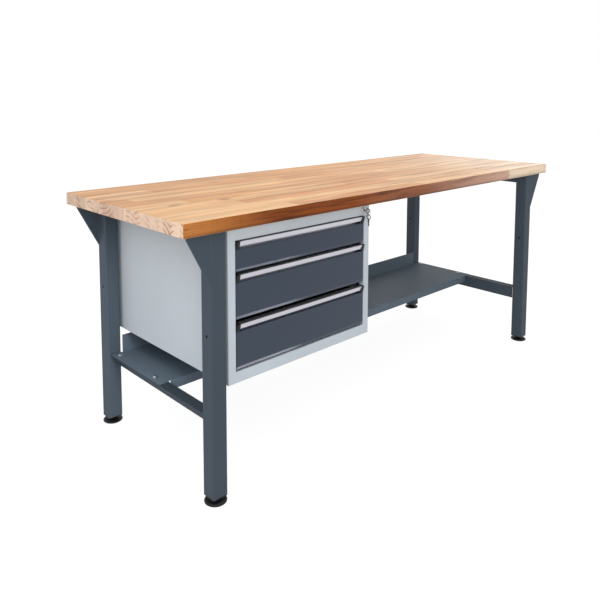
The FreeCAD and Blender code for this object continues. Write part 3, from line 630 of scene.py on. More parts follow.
class BareMetal:
    """A metal's material with its scratches, smudges and softened edges."""

    def __init__(self, name, scratch_scale, edge_width, turned=(0.0, 0.0, 0.0)):
        self.material, self.g = new_material(name)
        self.place = self.g.object_place()
        along = self.g.mapped(self.place, (1.0, 1.0, 1.0), turned)
        marks = self.g.group(shared(scratch_group), vector=along, scale=scratch_scale)
        self.lines = Signal(self.g, marks["Lines"])
        self.smudge = Signal(self.g, marks["Smudge"])
        self.edge = self.g.group(shared(edge_group), width=edge_width)["Normal"]

    def finished(self, tint, roughness, relief, depth):
        """The material with its colour, roughness and relief."""
        self.g.surface(
            Base_Color=tint,
            Metallic=1.0,
            Roughness=roughness,
            Normal=self.g.bump(relief, depth, self.edge),
        )
        return self.material


def aluminium(look):
    """Brushed and anodised strips that run along X."""
    metal = BareMetal("anodised_strip", 1800.0, 0.5 * MM)
    tint = metal.g.scaled(look.metal.aluminium, metal.lines.ramp(0.2, 0.8, 0.9, 1.06))
    rough = metal.lines * 0.22 + metal.smudge * 0.14 + 0.22
    return metal.finished(tint, rough, metal.lines, 0.02 * MM)


def zinc(look):
    """Bright zinc plate with a faint blue and straw bloom."""
    metal = BareMetal("zinc_plate", 900.0, 0.4 * MM)
    bloom = metal.g.noise(metal.place, 140.0, 3.0, 0.6)
    cool = metal.g.scaled(look.metal.zinc, bloom.ramp(0.3, 0.7, 0.92, 1.04))
    tint = metal.g.mix(bloom.ramp(0.5, 0.75, 0.0, 0.35), cool, look.metal.straw)
    rough = bloom * 0.2 + metal.smudge * 0.14 + 0.16
    return metal.finished(tint, rough, bloom, 0.02 * MM)


def chrome(look):
    """Polished plate with light smudges."""
    metal = BareMetal("polished_chrome", 2600.0, 0.3 * MM)
    tint = metal.g.scaled(look.metal.chrome, metal.smudge.ramp(0.3, 0.7, 0.94, 1.02))
    rough = metal.smudge.ramp(0.35, 0.75, 0.07, 0.2)
    return metal.finished(tint, rough, metal.lines, 0.004 * MM)


def nickel(look):
    """Nickel-plated keys, rubbed along their length."""
    metal = BareMetal("rubbed_nickel", 2400.0, 0.3 * MM, (0.0, math.pi / 2, 0.0))
    tint = metal.g.scaled(look.metal.nickel, metal.lines.ramp(0.2, 0.8, 0.86, 1.08))
    rough = metal.lines * 0.18 + metal.smudge * 0.12 + 0.18
    return metal.finished(tint, rough, metal.lines, 0.01 * MM)


def plastic(look):
    """Black moulded plastic with a spark-eroded skin."""
    material, g = new_material("moulded_black")
    place = g.object_place()
    skin = g.noise(place, 1700.0, 2.0)
    handled = g.noise(place, 40.0, 3.0, 0.6)
    edge = g.group(shared(edge_group), width=0.6 * MM)
    scuffed = g.mix(
        Signal(g, edge["Mask"]) * 0.12,
        g.scaled(look.plastic.black, handled.ramp(0.3, 0.7, 0.8, 1.3)),
        look.plastic.scuff,
    )
    g.surface(
        Base_Color=scuffed,
        Roughness=handled.ramp(0.3, 0.7, -0.06, 0.1) + look.plastic.roughness,
        Specular_IOR_Level=look.plastic.shine,
        Normal=g.bump(skin, look.plastic.grain_depth, edge["Normal"]),
    )
    return material


def edge_bands(g, finish, place_x):
    """Colour of a long edge from its left end, 0, to its right end, 1: partly the staves' own tones,
    partly painted shade that keeps the upright edge darker than the top.
    """
    tints = {
        0.0: finish.edge_left,
        0.16: finish.edge_middle,
        0.33: finish.edge_middle,
        0.43: finish.edge_red,
        0.5: finish.edge_red,
        0.823: finish.edge_rose,
        0.83: finish.edge_right,
    }
    bands = g.add("ShaderNodeValToRGB", {"Fac": place_x})
    stops = bands.color_ramp.elements
    stops.remove(stops[1])
    for position, tint in tints.items():
        stop = stops.new(position) if position else stops[0]
        stop.color = (*tint, 1.0)
    return bands.outputs["Color"]


class Staves:
    """Numbers and colours of the glued staves, which lie along X."""

    def __init__(self, g, finish):
        self.g = g
        self.finish = finish
        self.low, self.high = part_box("worktop")
        coords = g.add("ShaderNodeTexCoord").outputs
        self.place = coords["Object"]
        self.x, self.y, self.z = g.split(self.place)
        facing_x, facing_y, _ = g.split(coords["Normal"])
        self.ends = facing_x.size().ramp(0.5, 0.9)
        self.sides = facing_y.size().ramp(0.5, 0.9)
        self.flat = (self.ends * -1.0 + 1.0) * (self.sides * -1.0 + 1.0)
        self.rightward = self.x.ramp(self.low.x, self.high.x, easing="LINEAR")
        self.fibre = self.grain(7.0, 420.0, 4.0, 0.65)
        self.streak = self.grain(1.8, 62.0)
        self.broad = self.grain(2.6, 26.0)
        self.pores = self.grain(45.0, 1500.0, 1.0).ramp(0.62, 0.74)
        self.lay()
        self.grow()

    def grain(self, along, across, detail=3.0, roughness=0.6):
        """Noise drawn out along the staves."""
        drawn = self.g.mapped(self.place, (along, across, across))
        return self.g.noise(drawn, 1.0, detail, roughness)

    def lay(self):
        """Rows and butt joints, with steady random numbers for each row and stave."""
        g, finish = self.g, self.finish
        across = (self.y - self.low.y) / finish.stave_width
        row = across.floor()
        row_pick, row_slip, self.row_tone = g.random(g.join(row, 3.7, 1.3))
        stave_long = row_pick * (0.5 * finish.stave_length) + 0.75 * finish.stave_length
        along = self.x / stave_long + row_slip * 7.0 + 9.0
        self.tone, self.hue, self.spot = g.random(g.join(row, along.floor(), 5.1))
        self.off_middle = across.fraction() - 0.5
        joint = self.off_middle.size()
        self.glue = joint.ramp(0.48, 0.499)
        self.stained = joint.ramp(0.34, 0.5) * self.grain(2.2, 8.0).ramp(0.48, 0.6)
        self.butt = (along.fraction() - 0.5).size().ramp(0.4982, 0.4996)

    def grow(self):
        """Growth rings round a heart that lies elsewhere in each stave."""
        middle_z = (self.low.z + self.high.z) / 2
        spread_y, spread_z = HEART_SPREAD
        wander = (self.grain(1.6, 9.0) - 0.5) * RING_WANDER
        ring_y = self.off_middle * self.finish.stave_width + (self.hue - 0.5) * spread_y + wander
        ring_z = self.z + (self.spot - 0.5) * spread_z - middle_z
        reach = self.g.math("SQRT", ring_y * ring_y + ring_z * ring_z)
        rings = reach / self.finish.ring_pitch + self.grain(3.0, 120.0) * 0.9 + self.tone * 5.0
        ring = rings.fraction()
        self.late = ring.ramp(0.35, 0.92) * ring.ramp(1.0, 0.93)
        wide_ring = (rings / 3.0).fraction()
        self.heart_line = wide_ring.ramp(0.62, 0.9) * wide_ring.ramp(1.0, 0.92)

    def plain(self):
        """Colour of the top, the long edges and the sawn ends before their figure."""
        g, finish = self.g, self.finish
        sheen_reach = self.y.ramp(*SHEEN_SPAN, 0.25, 1.0, "LINEAR")
        light_streak = self.grain(1.7, 44.0, 2.0).ramp(0.57, 0.68)
        bands = edge_bands(g, finish, self.rightward + (self.broad - 0.5) * 0.02)
        sawn = g.scaled(finish.end_grain, self.tone.ramp(0.0, 1.0, 0.82, 1.06))
        return g.layered(
            finish.honey,
            (self.tone.ramp(0.1, 0.9), finish.pale),
            (self.hue.ramp(0.6, 0.95, 0.0, 0.7), finish.rosy),
            # Painted sheen: paler towards the right end and the front, standing for the grazing
            # reflection of the white surroundings.
            (self.rightward.ramp(0.35, 1.0, 0.0, 0.85) * sheen_reach, finish.painted_sheen),
            (light_streak * 0.5, finish.cream),
            # More painted sheen close to the right end.
            (self.rightward.ramp(0.7, 0.96, 0.0, 0.8) * sheen_reach, finish.painted_glare),
            # The long edges: partly painted shade, darker than the top.
            (self.sides, bands),
            (self.ends * 0.9, sawn),
        )

    def figured(self, tint):
        """A colour with late wood, fibres, saw marks, pores, dashes and flames."""
        g, finish = self.g, self.finish
        tint = g.mix(self.late * (self.flat * 0.2 + 0.12), tint, finish.late_wood, "MULTIPLY")
        saw_marks = g.noise(g.mapped(self.place, (170.0, 0.0, 14.0)), 1.0, 2.0)
        dark_foot = self.z.ramp(*(self.low.z + height for height in DARK_FOOT)) * self.sides
        lively = (self.fibre - 0.5) * 0.5 + (self.streak - 0.5) * 0.6 + (self.broad - 0.5) * 0.7
        lively = lively * (self.ends * -0.6 + 1.0) + (saw_marks - 0.5) * self.sides * 0.35
        lively = lively - dark_foot * self.broad * 0.7
        dashes = self.grain(2.2, 58.0, 2.0).ramp(0.56, 0.68) * (self.rightward * 0.2 + 0.3)
        tint = g.layered(
            g.scaled(tint, lively + (self.row_tone - 0.5) * 0.08 + 1.0),
            (self.pores * 0.25, finish.late_wood),
            ((dashes + self.stained * 0.5) * self.flat, finish.late_wood),
        )
        flame = self.grain(3.6, 60.0, 4.0, 0.55).ramp(0.47, 0.64)
        calm = self.rightward.ramp(0.5, 0.84, 1.0, 0.2)
        return g.scaled(tint, flame * self.sides * calm * -0.5 + 1.0)

    def marked(self, tint):
        """A colour with knots, heart marks, glue lines and butt joints."""
        g, finish = self.g, self.finish
        bent = g.join(self.x + (self.streak - 0.5) * 0.05, self.y, self.z * 2.0)
        knot_reach, knot_pick = g.spots(g.mapped(bent, (4.6, 7.5, 7.5)))
        knots = knot_reach.ramp(0.17, 0.05) * knot_pick.ramp(0.66, 0.7)
        blotch = g.noise(g.mapped(self.place, (0.0, 21.0, 12.0)), 1.0, 3.0).ramp(0.46, 0.64)
        return g.layered(
            tint,
            (knots * (self.ends * -1.0 + 1.0) * 0.62, finish.knot),
            (self.ends * blotch * (self.heart_line * 0.75 + 0.12), finish.heart_mark),
            (self.glue * (self.ends * 0.3 + self.flat * 0.35), finish.late_wood),
            (self.butt * self.flat * 0.4, finish.late_wood),
        )


def wood(look):
    """Oiled staves with growth rings and sawn ends, long edges partly darkened as painted shade, and a
    right end paled as painted sheen.
    """
    finish = look.worktop
    material, g = new_material("oiled_staves")
    staves = Staves(g, finish)
    edge = g.group(shared(edge_group), width=2.4 * MM)
    tint = staves.marked(staves.figured(staves.plain()))
    rough = (staves.fibre - 0.5) * 0.2 + staves.late * -0.05 + staves.ends * 0.14
    relief = staves.fibre * 0.5 + staves.late * 0.35 - staves.pores * 0.6 - staves.glue * 0.5
    g.surface(
        # Painted highlight: the rounded arris is paled towards cream.
        Base_Color=g.mix(Signal(g, edge["Mask"]) * 0.6, tint, finish.cream),
        Roughness=rough + finish.roughness,
        Specular_IOR_Level=finish.shine,
        Normal=g.bump(relief, finish.grain_depth, edge["Normal"]),
    )
    return material


def coat(finish, *nodes):
    """Give CAD nodes one finish."""
    material = material_of(finish)
    for name in nodes:
        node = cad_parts[name]
        if not node.material_slots:
            raise RuntimeError(f"{name} has no material slot")
        for slot in node.material_slots:
            slot.material = material


def solids(node):
    """Lowest and highest corner of each separate solid of a CAD node, in a steady order."""
    bm = bmesh.new()
    bm.from_mesh(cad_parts[node].data)
    bmesh.ops.remove_doubles(bm, verts=bm.verts, dist=MERGE)
    left = set(bm.verts)
    boxes = []
    while left:
        reached = [left.pop()]
        corners = []
        while reached:
            vert = reached.pop()
            corners.append(vert.co.copy())
            near = {edge.other_vert(vert) for edge in vert.link_edges} & left
            left -= near
            reached.extend(near)
        boxes.append([Vector(map(pick, *corners)) for pick in (min, max)])
    bm.free()
    return sorted(boxes, key=lambda box: tuple(box[0]))


def finish_piece(name, bm, body, finish, slot, *nodes):
    """Make a mesh a piece that rides on a body and stands for CAD nodes."""
    bmesh.ops.remove_doubles(bm, verts=bm.verts, dist=MERGE)
    bmesh.ops.recalc_face_normals(bm, faces=bm.faces)
    mesh = bpy.data.meshes.new(name)
    bm.to_mesh(mesh)
    bm.free()
    mesh.shade_smooth()
    mesh.set_sharp_from_angle(angle=SHARP)
    mesh.materials.append(material_of(finish))
    piece = bpy.data.objects.new(name, mesh)
    bpy.context.scene.collection.objects.link(piece)
    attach(piece, body)
    if nodes:
        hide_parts(*nodes)


def add_mesh(bm, part):
    """Move a finished mesh into another one."""
    carrier = bpy.data.meshes.new("carrier")
    part.to_mesh(carrier)
    part.free()
    bm.from_mesh(carrier)
    bpy.data.meshes.remove(carrier)


def verts_in(geometry):
    return [item for item in geometry if isinstance(item, bmesh.types.BMVert)]


def open_edges(bm):
    return [edge for edge in bm.edges if edge.is_boundary]


def edges_at(verts):
    """Edges that meet the given vertices, each once and in a steady order."""
    return list(dict.fromkeys(edge for vert in verts for edge in vert.link_edges))


def bevel(bm, edges, offset, segments):
    bmesh.ops.bevel(
        bm,
        geom=edges,
        offset=offset,
        affect="EDGES",
        segments=segments,
        profile=0.5,
        material=-1,
    )


def turn(bm, outline, steps, turns=1, rise=0.0):
    """Turn an outline of (radius, height) points about Z, with a rise in each turn."""
    verts = [bm.verts.new((radius, 0.0, height)) for radius, height in outline]
    edges = [bm.edges.new(pair) for pair in zip(verts, verts[1:])]
    bmesh.ops.spin(
        bm,
        geom=verts + edges,
        cent=(0.0, 0.0, 0.0),
        axis=(0.0, 0.0, 1.0),
        dvec=(0.0, 0.0, rise / steps),
        angle=math.tau * turns,
        steps=steps * turns,
        use_merge=rise == 0.0,
    )
    bmesh.ops.remove_doubles(bm, verts=bm.verts, dist=MERGE)


def foot_body(sizes, radius):
    """Round foot with a ribbed rim and a hexagon hub."""
    bm = bmesh.new()
    steps = 2 * sizes.rim_ribs
    turn(bm, [(part * radius, height * MM) for part, height in FOOT_OUTLINE], steps)
    slots = []
    for face in bm.faces:
        middle = face.calc_center_median()
        on_rim = middle.xy.length > RIM_INSIDE * radius and abs(face.normal.z) < RIM_TILT
        count = math.floor(math.atan2(middle.y, middle.x) / math.tau * steps)
        if on_rim and count % 2:
            slots.append(face)
    bmesh.ops.inset_individual(bm, faces=slots, thickness=RIB_INSET, depth=-sizes.rib_depth)
    hub = bmesh.ops.create_cone(
        bm,
        cap_ends=True,
        segments=6,
        radius1=HUB_RADIUS,
        radius2=HUB_RADIUS,
        depth=HUB_TOP - HUB_LOW,
        matrix=Matrix.Translation((0.0, 0.0, (HUB_TOP + HUB_LOW) / 2)),
    )
    bevel(bm, edges_at(hub["verts"]), HUB_EDGE, 2)
    return bm


def screw_stem(sizes, radius, low, high):
    """Threaded rod: one tooth wound up the rod, closed at both ends."""
    bm = bmesh.new()
    pitch = sizes.thread_pitch
    turns = math.floor((high - low) / pitch) - 1
    root = radius - TOOTH_DEPTH * pitch
    crest = [(radius, low + pitch * part) for part in TOOTH_CREST]
    turn(bm, [(root, low), *crest, (root, low + pitch)], THREAD_STEPS, turns, pitch)
    bmesh.ops.holes_fill(bm, edges=open_edges(bm), sides=0)
    return bm


def socket_bolt(bm, sizes, box, shank, head_high, head_up):
    """Add a button-head bolt with a hexagon socket, in the box of its CAD solid."""
    low, high = box
    head = (high.x - low.x) / 2
    tall = high.z - low.z
    seat = tall - head_high
    across = sizes.socket_across * head / BOLT_HEAD
    tip_in, tip_up = BOLT_TIP
    outline = [
        (0.0, 0.0),
        (shank - tip_in, 0.0),
        (shank, tip_up),
        (shank, seat),
        (head, seat),
        *((out * head, seat + up * head_high) for out, up in BUTTON_HEAD),
        (SOCKET_RING * across, tall),
    ]
    part = bmesh.new()
    turn(part, outline, BOLT_STEPS)
    rim = open_edges(part)
    hexagon = bmesh.ops.create_circle(
        part,
        segments=6,
        radius=across / math.sqrt(3),
        matrix=Matrix.Translation((0.0, 0.0, tall)),
    )
    flats = edges_at(hexagon["verts"])
    bmesh.ops.subdivide_edges(part, edges=flats, cuts=BOLT_STEPS // 6 - 1)
    loop = [edge for edge in part.edges if edge.is_wire]
    bmesh.ops.bridge_loops(part, edges=rim + loop)
    walls = bmesh.ops.extrude_edge_only(part, edges=open_edges(part))
    bmesh.ops.translate(part, verts=verts_in(walls["geom"]), vec=(0.0, 0.0, -sizes.socket_depth))
    bmesh.ops.holes_fill(part, edges=open_edges(part), sides=0)
    middle = (low + high) / 2
    if head_up:
        place = Matrix.Translation((middle.x, middle.y, low.z))
    else:
        place = Matrix.Translation((middle.x, middle.y, high.z)) @ Matrix.Rotation(math.pi, 4, "X")
    part.transform(place)
    add_mesh(bm, part)


def flat_key(sizes, box, blade_way, across_way):
    """Key with an eye in its round bow and cuts along one edge of its blade."""
    low, high = box
    span = high - low
    thick = span.x
    tall, wide = sorted(span.yz, reverse=True)
    bow = wide / 2
    half = KEY_BLADE / 2
    tip = tall - bow
    bm = bmesh.new()
    opening = math.asin(half / bow)
    neck = bow * math.cos(opening)
    first = bm.verts.new((neck, half, 0.0))
    arc = bmesh.ops.spin(
        bm,
        geom=[first],
        cent=(0.0, 0.0, 0.0),
        axis=(0.0, 0.0, 1.0),
        angle=math.tau - 2 * opening,
        steps=BOW_STEPS,
    )
    chain = verts_in(arc["geom_last"])
    for part_way, height in KEY_CUTS:
        chain.append(bm.verts.new((neck + (tip - neck) * part_way, half * height, 0.0)))
    chain.append(first)
    for pair in zip(chain, chain[1:]):
        bm.edges.new(pair)
    bmesh.ops.create_circle(bm, segments=EYE_STEPS, radius=KEY_EYE / 2)
    bmesh.ops.triangle_fill(bm, edges=bm.edges, use_beauty=True)
    raised = bmesh.ops.extrude_face_region(bm, geom=bm.faces)
    bmesh.ops.translate(bm, verts=verts_in(raised["geom"]), vec=(0.0, 0.0, thick))
    rims = [edge for edge in bm.edges if edge.calc_face_angle(0.0) > KEY_RIM_ANGLE]
    flat_rims = [edge for edge in rims if abs(edge.verts[0].co.z - edge.verts[1].co.z) < MERGE]
    bevel(bm, flat_rims, sizes.key_edge, 1)
    blade = Vector(blade_way)
    sideways = Vector(across_way)
    thickness = blade.cross(sideways)
    turned = Matrix((blade, sideways, thickness)).transposed().to_4x4()
    middle = (low + high) / 2
    eye = middle - blade * (tall / 2 - bow) - thickness * (thick / 2)
    bm.transform(Matrix.Translation(eye) @ turned)
    return bm


def split_ring(box):
    """Flattened wire wound twice round the axis along Y."""
    low, high = box
    middle = (low + high) / 2
    wire = high.y - low.y
    radius = (high.x - low.x - wire) / 2
    rise = wire / 2
    bm = bmesh.new()
    place = Matrix.Translation((middle.x + radius, middle.y - rise, middle.z))
    flat = Matrix.Diagonal((1.0, RING_FLAT, 1.0, 1.0))
    bmesh.ops.create_circle(bm, segments=WIRE_SIDES, radius=wire / 2, matrix=place @ flat)
    bmesh.ops.spin(
        bm,
        geom=bm.verts[:] + bm.edges[:],
        cent=middle,
        axis=(0.0, 1.0, 0.0),
        dvec=(0.0, rise * RING_TURNS / RING_STEPS, 0.0),
        angle=math.tau * RING_TURNS,
        steps=RING_STEPS,
    )
    bmesh.ops.holes_fill(bm, edges=open_edges(bm), sides=0)
    return bm


def weld(bm, sizes, start, end, radius):
    """Add a rippled bead from one point to another."""
    start = Vector(start)
    run = Vector(end) - start
    ripples = max(2, 2 * round(run.length / sizes.bead_step / 2))
    step = run / ripples
    part = bmesh.new()
    bmesh.ops.create_circle(part, segments=BEAD_SIDES, radius=BEAD_END * radius)
    part.transform(run.to_track_quat("Z", "X").to_matrix().to_4x4())
    bmesh.ops.translate(part, verts=part.verts, vec=start)
    ring = part.edges[:]
    for count in range(1, ripples + 1):
        longer = bmesh.ops.extrude_edge_only(part, edges=ring)
        verts = verts_in(longer["geom"])
        ring = [edge for edge in edges_at(verts) if edge.is_boundary]
        if count == 1:
            swell = 1 / BEAD_END
        elif count == ripples:
            swell = BEAD_END
        else:
            swell = RIPPLE if count % 2 else 1 / RIPPLE
        bmesh.ops.translate(part, verts=verts, vec=step)
        centre = Matrix.Translation(-(start + step * count))
        bmesh.ops.scale(part, verts=verts, vec=(swell, swell, swell), space=centre)
    bmesh.ops.holes_fill(part, edges=open_edges(part), sides=0)
    add_mesh(bm, part)


class BENCH_OT_worktop(bpy.types.Operator):
    """Finish the wooden worktop as oiled staves"""

    bl_idname = "bench.worktop"
    bl_label = "Worktop"

    def execute(self, context):
        coat(wood, "worktop")
        return {"FINISHED"}


class BENCH_OT_steelwork(bpy.types.Operator):
    """Powder-coat the legs, rails and shelf"""

    bl_idname = "bench.steelwork"
    bl_label = "Steelwork"

    def execute(self, context):
        coat(frame_paint, *FRAME_NODES)
        # The shelf takes its lighter coat, painted light that lifts its shade.
        coat(lightened_shelf_paint, "lower_shelf")
        coat(plastic, "leg_end_inserts")
        return {"FINISHED"}


class BENCH_OT_welds(bpy.types.Operator):
    """Weld the corner plates and crossbars to the legs"""

    bl_idname = "bench.welds"
    bl_label = "Welds"

    def execute(self, context):
        sizes = context.scene.bench_look.fittings
        half_bead = sizes.bead / 2
        bm = bmesh.new()
        for side, hand in ((-1, "left"), (1, "right")):
            plates_low, plates_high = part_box(f"{hand}_gussets")
            bottom = plates_low.z + SEAM_FROM_BOTTOM
            top = plates_high.z - SEAM_FROM_TOP
            face = plates_high.y
            bar_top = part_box(f"{hand}_crossbar")[1].z + BAR_SEAM_RISE
            for end, row in ((-1, "front"), (1, "rear")):
                leg_low, leg_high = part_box(f"{hand}_{row}_leg")
                inner, outer = sorted((abs(leg_low.x), abs(leg_high.x)))
                near = min(abs(leg_low.y), abs(leg_high.y))
                seams = (
                    (outer - SEAM_INSIDE_LEG, face - SEAM_BEHIND_FACE, sizes.seam_bead),
                    (outer + half_bead, face - GUSSET_THICK - half_bead, sizes.bead),
                )
                for out, deep, radius in seams:
                    x, y = side * out, end * deep
                    weld(bm, sizes, (x, y, bottom), (x, y, top), radius)
                bar_ends = [(side * (inner + along), end * near, bar_top) for along in BAR_SEAM]
                weld(bm, sizes, *bar_ends, sizes.bead)
        finish_piece("frame_welds", bm, "bench", frame_paint, "anthracite_paint")
        return {"FINISHED"}


class BENCH_OT_feet(bpy.types.Operator):
    """Make the four screw feet"""

    bl_idname = "bench.feet"
    bl_label = "Feet"

    def execute(self, context):
        sizes = context.scene.bench_look.fittings
        for leg in LEGS:
            name = f"{leg}_foot"
            low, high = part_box(name)
            middle = (low + high) / 2
            place = Matrix.Translation((middle.x, middle.y, low.z))
            disc = foot_body(sizes, (high.x - low.x) / 2)
            disc.transform(place)
            finish_piece(f"{name}_pad", disc, name, plastic, "black_plastic", name)
            stem = screw_stem(sizes, STEM_RADIUS, HUB_TOP - STEM_SUNK, high.z - low.z)
            stem.transform(place)
            finish_piece(f"{name}_screw", stem, name, zinc, "zinc_steel")
        return {"FINISHED"}


class BENCH_OT_fasteners(bpy.types.Operator):
    """Make the socket bolts and screws"""

    bl_idname = "bench.fasteners"
    bl_label = "Fasteners"

    def execute(self, context):
        sizes = context.scene.bench_look.fittings
        for node, kind in BOLT_KINDS.items():
            bm = bmesh.new()
            for box in solids(node):
                socket_bolt(bm, sizes, box, *kind)
            finish_piece(f"{node}_detailed", bm, "bench", zinc, "zinc_steel", node)
        coat(zinc, "shelf_washers", "shelf_nuts")
        return {"FINISHED"}


class BENCH_OT_drawer_case(bpy.types.Operator):
    """Powder-coat the drawer case"""

    bl_idname = "bench.drawer_case"
    bl_label = "Drawer Case"

    def execute(self, context):
        coat(case_paint, *CASE_NODES)
        return {"FINISHED"}


class BENCH_OT_drawers(bpy.types.Operator):
    """Finish the drawers, their grips and their slides"""

    bl_idname = "bench.drawers"
    bl_label = "Drawers"

    def execute(self, context):
        for name in DRAWERS:
            coat(drawer_paint, f"{name}_front")
            coat(box_paint, f"{name}_box")
            coat(aluminium, f"{name}_grip", f"{name}_label_strip")
            coat(plastic, f"{name}_grip_caps")
            coat(zinc, *(f"{name}_{rail}_rails" for rail in ("outer", "middle", "inner")))
        return {"FINISHED"}


class BENCH_OT_lock(bpy.types.Operator):
    """Finish the lock, its rod and its keys"""

    bl_idname = "bench.lock"
    bl_label = "Lock and Keys"

    def execute(self, context):
        coat(chrome, "lock_housing", "lock_plug")
        coat(zinc, "lock_cam", "locking_rod")
        sizes = context.scene.bench_look.fittings
        turned = flat_key(sizes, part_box("lock_key"), (0.0, 1.0, 0.0), (0.0, 0.0, 1.0))
        finish_piece("lock_key_cut", turned, "lock_plug", nickel, "key_steel", "lock_key")
        spare = flat_key(sizes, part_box("spare_key"), (0.0, 0.0, -1.0), (0.0, 1.0, 0.0))
        finish_piece("spare_key_cut", spare, "spare_key", nickel, "key_steel", "spare_key")
        ring = split_ring(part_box("key_ring"))
        finish_piece("key_ring_wound", ring, "spare_key", nickel, "key_steel", "key_ring")
        return {"FINISHED"}


def white_for_picture(g):
    """Number that is 1 for rays that show the background, and 0 for its light."""
    path = g.add("ShaderNodeLightPath").outputs
    seen = g.math("MAXIMUM", path["Is Camera Ray"], path["Is Glossy Ray"])
    return g.math("MAXIMUM", seen, path["Is Transmission Ray"])


def soft_lamp(name, place, turned, wide, deep, watts):
    """Rectangular lamp, which shines along its own -Z."""
    lamp = bpy.data.lights.new(name, "AREA")
    lamp.shape = "RECTANGLE"
    lamp.size = wide
    lamp.size_y = deep
    lamp.energy = watts
    holder = bpy.data.objects.new(name, lamp)
    holder.location = place
    holder.rotation_euler = turned
    bpy.context.scene.collection.objects.link(holder)
    return holder


def aimed(place, target):
    """Turn of a lamp at a place that shines at a target."""
    return (Vector(target) - Vector(place)).to_track_quat("-Z", "Y").to_euler()


def light_only(lamp, *nodes):
    """Let a lamp light the given CAD nodes alone, unseen by the camera."""
    lit = bpy.data.collections.new(f"{lamp.name}_nodes")
    for node in nodes:
        lit.objects.link(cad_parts[node])
    lamp.light_linking.receiver_collection = lit
    lamp.visible_camera = False


def studio_floor(scene, studio):
    """Pale floor, plain white in the picture but for a light shadow."""
    material, g = new_material("pale_floor")
    pale = g.add("ShaderNodeBsdfDiffuse", {"Color": studio.floor_colour})
    glow = g.add("ShaderNodeEmission", {"Color": WHITE, "Strength": studio.floor_glow})
    shade = g.add("ShaderNodeBsdfDiffuse", {"Color": [studio.shadow_depth] * 3})
    white = g.add("ShaderNodeAddShader", {0: glow.outputs[0], 1: shade.outputs[0]})
    shown = white_for_picture(g)
    blend = g.add("ShaderNodeMixShader", {0: shown, 1: pale.outputs[0], 2: white.outputs[0]})
    g.add("ShaderNodeOutputMaterial", {"Surface": blend.outputs[0]})
    plane = bmesh.new()
    bmesh.ops.create_grid(plane, x_segments=1, y_segments=1, size=studio.floor_side / 2)
    mesh = bpy.data.meshes.new("studio_floor")
    plane.to_mesh(mesh)
    plane.free()
    mesh.materials.append(material)
    floor = bpy.data.objects.new("studio_floor", mesh)
    scene.collection.objects.link(floor)


def studio_sky(scene, studio):
    """Even light from all sides, white where the picture shows it."""
    world = bpy.data.worlds.new("studio_sky")
    world.use_nodes = True
    world.node_tree.nodes.clear()
    g = Graph(world.node_tree)
    strength = white_for_picture(g) * (1.0 - studio.sky) + studio.sky
    sky = g.add("ShaderNodeBackground", {"Color": WHITE, "Strength": strength})
    g.add("ShaderNodeOutputWorld", {"Surface": sky.outputs[0]})
    scene.world = world


def studio_lamps(studio):
    """Soft lamps round the bench, one for the shaded bay and strips for the drawer fronts."""
    for name, (place, side) in LAMPS.items():
        watts = getattr(studio, f"{name}_power")
        soft_lamp(f"{name}_lamp", place, aimed(place, LAMP_AIM), side, side, watts)
    bay_turn = aimed(BAY_PLACE, BAY_AIM)
    bay = soft_lamp("bay_lamp", BAY_PLACE, bay_turn, BAY_SIDE, BAY_SIDE, studio.bay_power)
    light_only(bay, "lower_shelf", "left_rear_leg")
    upward = (math.pi, 0.0, 0.0)
    for drawer, (x, y, wide, deep) in STRIPS.items():
        watts = math.pi * wide * deep * studio.strip_glow
        strip = soft_lamp(f"{drawer}_strip", (x, y, STRIP_HIGH), upward, wide, deep, watts)
        strip.data.color = studio.strip_colour
        strip.visible_diffuse = False
        light_only(strip, f"{drawer}_front")


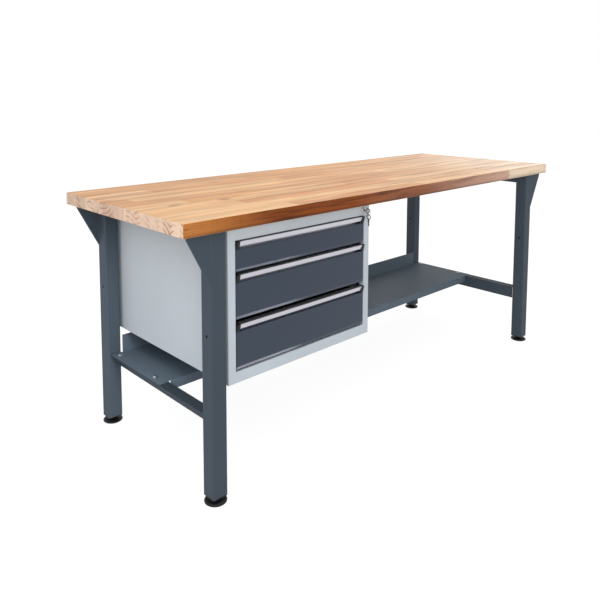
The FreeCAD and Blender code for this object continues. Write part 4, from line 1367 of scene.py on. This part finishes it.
def photo_camera(scene, studio):
    lens = bpy.data.cameras.new("photo_camera")
    lens.sensor_width = SENSOR
    lens.lens = SENSOR * studio.focal
    lens.shift_x, lens.shift_y = studio.shift
    camera = bpy.data.objects.new("photo_camera", lens)
    camera.location = studio.eye
    camera.rotation_euler = (math.pi / 2 - studio.pitch, 0.0, -studio.yaw)
    scene.collection.objects.link(camera)
    scene.camera = camera


class BENCH_OT_stage(bpy.types.Operator):
    """Set the floor, the soft lamps and the camera"""

    bl_idname = "bench.stage"
    bl_label = "Studio"

    def execute(self, context):
        scene = context.scene
        studio = scene.bench_look.studio
        scene.view_settings.view_transform = "Standard"
        studio_floor(scene, studio)
        studio_sky(scene, studio)
        studio_lamps(studio)
        photo_camera(scene, studio)
        return {"FINISHED"}


PIECE_OPERATORS = (
    BENCH_OT_worktop,
    BENCH_OT_steelwork,
    BENCH_OT_welds,
    BENCH_OT_feet,
    BENCH_OT_fasteners,
    BENCH_OT_drawer_case,
    BENCH_OT_drawers,
    BENCH_OT_lock,
    BENCH_OT_stage,
)


class BENCH_PT_look(bpy.types.Panel):
    """Steps and settings of the workbench"""

    bl_label = "Workbench"
    bl_idname = "BENCH_PT_look"
    bl_space_type = "VIEW_3D"
    bl_region_type = "UI"
    bl_category = "Workbench"

    def draw(self, context):
        for operator in PIECE_OPERATORS:
            self.layout.operator(operator.bl_idname)
        look = context.scene.bench_look
        for part in ("worktop", "paint", "metal", "plastic", "fittings", "studio"):
            box = self.layout.box()
            box.label(text=part.capitalize())
            settings = getattr(look, part)
            for name in settings.__annotations__:
                box.prop(settings, name)


CLASSES = (
    WorktopFinish,
    PaintFinish,
    MetalFinish,
    PlasticFinish,
    FittingSizes,
    StudioSettings,
    BenchLook,
    *PIECE_OPERATORS,
    BENCH_PT_look,
)


def register():
    for kind in CLASSES:
        bpy.utils.register_class(kind)
    bpy.types.Scene.bench_look = PointerProperty(type=BenchLook)


def unregister():
    del bpy.types.Scene.bench_look
    for kind in reversed(CLASSES):
        bpy.utils.unregister_class(kind)


def main():
    register()
    bpy.ops.bench.worktop()
    bpy.ops.bench.steelwork()
    bpy.ops.bench.welds()
    bpy.ops.bench.feet()
    bpy.ops.bench.fasteners()
    bpy.ops.bench.drawer_case()
    bpy.ops.bench.drawers()
    bpy.ops.bench.lock()
    bpy.ops.bench.stage()


if __name__ == "__main__":
    main()
